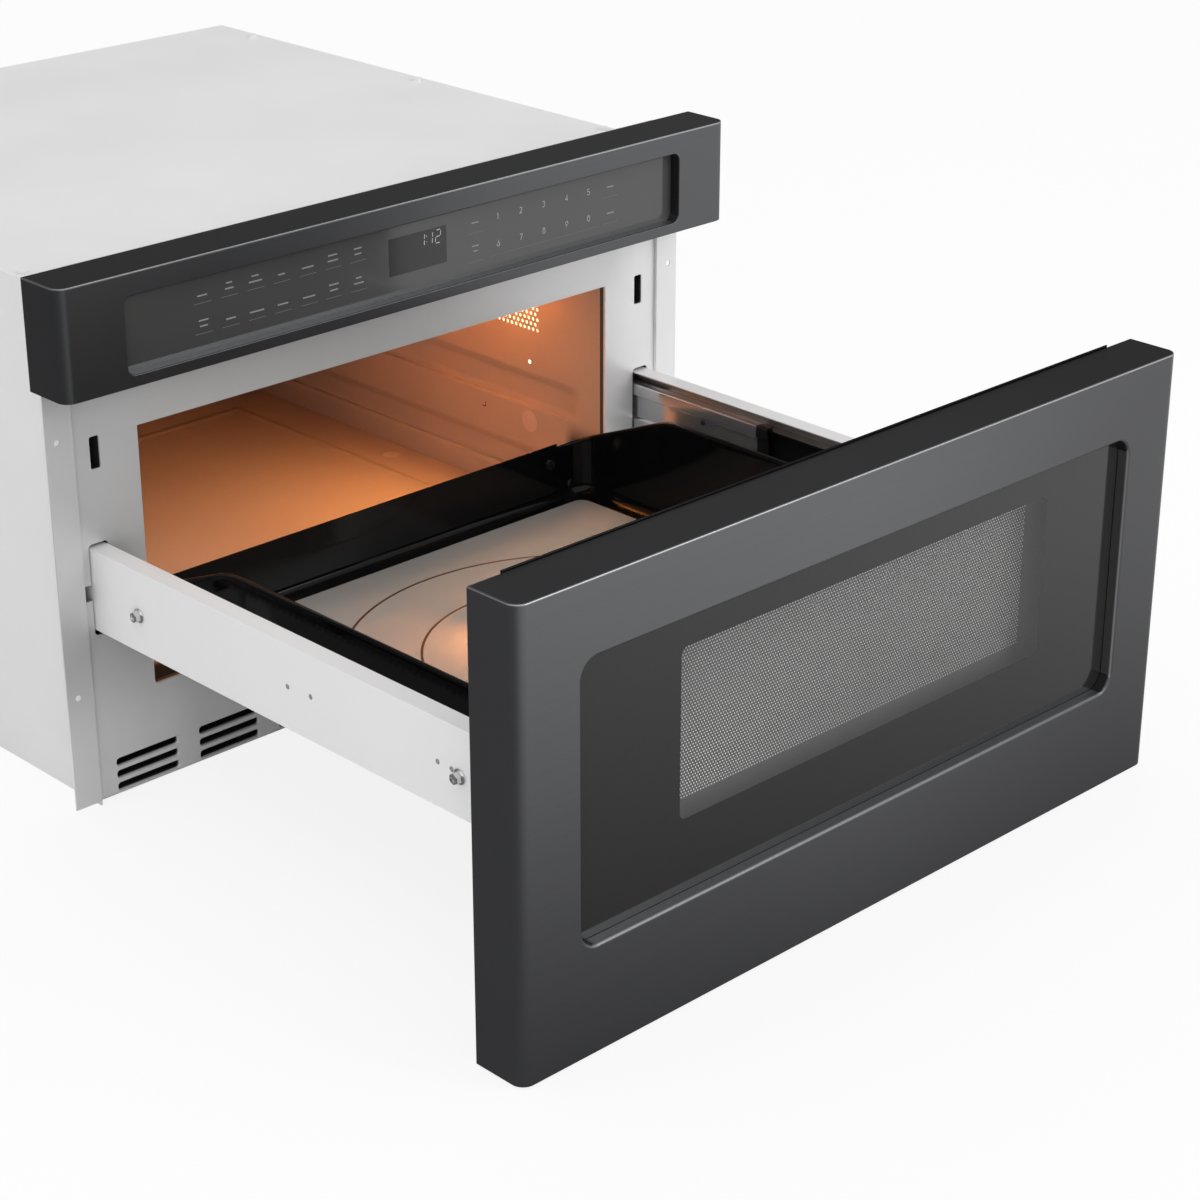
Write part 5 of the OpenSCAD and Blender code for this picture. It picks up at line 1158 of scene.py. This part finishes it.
# %% The oven lamp's light
DIFFUSER_X, DIFFUSER_Y, DIFFUSER_Z = 222, (36, 104.5), (209, 255)
glow_path, glow_out = round_path(DIFFUSER_Y, DIFFUSER_Z, 2, 3)
glow_rows = swept(glow_path, glow_out, [(-1, 0), (0, 0), (0, 0.6), (-1, 0.6)])
glow_v, glow_w, glow_u = glow_rows.reshape(-1, 3).T
surface("lamp_diffuser", np.stack([glow_u + DIFFUSER_X, glow_v, glow_w], -1) * MM, closed_faces(4, len(glow_path)),
        "cabinet", "lamp", "lamp_light")
print("diffuser", round(np.ptp(glow_v)), "x", round(np.ptp(glow_w)), "mm")

# %% [markdown]
# ## Studio
# The sky gives even light and looks white to the camera. Only shiny metal sees that it is dimmer behind the
# object, as in a studio whose lamps and white cards stand in front.

# %% Studio sky
SKY_LIGHT, SKY_SHINE, SKY_BACK, FLOOR_BACK = 0.86, 1.0, 0.13, 0.13
BEHIND = (0.35, 0.80, 0.49)
world = bpy.data.worlds.new("studio")
bpy.context.scene.world = world
world.use_nodes = True
world_shader = next(n for n in world.node_tree.nodes if n.type == "BACKGROUND")
sky = Wire(world.node_tree)


def rays(wire):
    """Light Path's masks: 1 for rays from the camera, off a shiny face and through glass."""
    names = ("Is Camera Ray", "Is Glossy Ray", "Is Transmission Ray")
    return [wire.node("ShaderNodeLightPath", output=name) for name in names]


seen, shiny, through = rays(sky)
direction = sky.node("ShaderNodeTexCoord", output="Generated")
behind = sky.node("ShaderNodeVectorMath", {"operation": "DOT_PRODUCT"}, {0: direction, 1: BEHIND}, output="Value")
shine = SKY_SHINE - behind.step(-0.1, 0.75) * (SKY_SHINE - SKY_BACK)
white = seen.larger(through)
strength = white + (1 - white) * (shiny * shine + (1 - shiny) * SKY_LIGHT)
world_shader.inputs["Color"].default_value = (1, 1, 1, 1)
world.node_tree.links.new(strength.socket, world_shader.inputs["Strength"])
print("sky:", len(world.node_tree.nodes), "nodes")

# %% [markdown]
# The floor is a pale sheet that keeps the object's shadow. Where the camera looks at it, a share of plain light
# lifts it to white.

# %% Studio floor
REACH, UNDER = 30, 0.4 * MM
floor_mesh = bpy.data.meshes.new("floor_sweep")
corners = [(x * REACH, y * REACH, 0) for x, y in ((-1, -1), (1, -1), (1, 1), (-1, 1))]
floor_mesh.from_pydata(corners, [], [(0, 1, 2, 3)])
floor = bpy.data.objects.new("floor_sweep", floor_mesh)
bpy.context.scene.collection.objects.link(floor)
floor.location.z = cad_low.z - UNDER
sweep = Finish("white_sweep", Roughness=0.9)
sweep.feed(Base_Color=sweep.cloudy(3, *greys(0.86, 0.9)))
seen, shiny, through = rays(sweep.blank)
ahead = sweep.axis(0) * 0.0005 - sweep.axis(1) * 0.00085
floor_shine = ahead.step(0.2, 1.2) * (1 - FLOOR_BACK) + FLOOR_BACK
glow = sweep.blank.node("ShaderNodeEmission", {}, {"Strength": 1 - shiny * (1 - floor_shine)})
share = (seen.larger(through) * 0.86).larger(shiny * 0.9)
sweep_out = next(n for n in sweep.material.node_tree.nodes if n.type == "OUTPUT_MATERIAL")
shader_out = Wire(sweep.blank.tree, sweep.shader.outputs[0])
lifted = sweep.blank.node("ShaderNodeMixShader", {}, {0: share, 1: shader_out, 2: glow})
sweep.blank.tree.links.new(lifted.socket, sweep_out.inputs["Surface"])
floor.data.materials.append(sweep.material)
print("floor at z =", round(floor.location.z, 4))

# %% [markdown]
# The lamps are square soft boxes. Two small ones light the cavity from inside, in the oven lamp's warm colour
# and in a nearly white one. Those that would show as squares in shiny metal are hidden from it.

# %% Studio lamps


def softbox(name, place, target, size, power, colour=(1, 1, 1), shiny=True):
    """A square area lamp that faces its target."""
    lamp_data = bpy.data.lights.new(name, "AREA")
    lamp_data.shape, lamp_data.size, lamp_data.energy, lamp_data.color = "SQUARE", size, power, colour
    box = bpy.data.objects.new(name, lamp_data)
    bpy.context.scene.collection.objects.link(box)
    box.location = place
    box.rotation_mode = "QUATERNION"
    box.rotation_quaternion = (Vector(target) - Vector(place)).to_track_quat("-Z", "Y")
    box.visible_glossy, box.visible_camera = shiny, False
    return box


softbox("top_box", (-0.3, -0.2, 2.6), (0, 0, 0.2), 2.4, 9, shiny=False)
softbox("front_box", (1.4, -3.2, 1.6), (0, 0, 0.2), 1.8, 30)
softbox("low_box", (-1.3, -1.3, 0.10), (0, -0.1, 0.05), 0.6, 4, shiny=False)
softbox("oven_lamp", spots(217.5, 116, 232), spots(-217, 116, 232), 0.06, 0.86, (1.0, 0.51, 0.14), False)
softbox("mouth_box", spots(-205, 80, 190), spots(219, 60, 180), 0.12, 0.24, (1.0, 0.92, 0.90), False)
bpy.context.scene.view_settings.view_transform = "Standard"
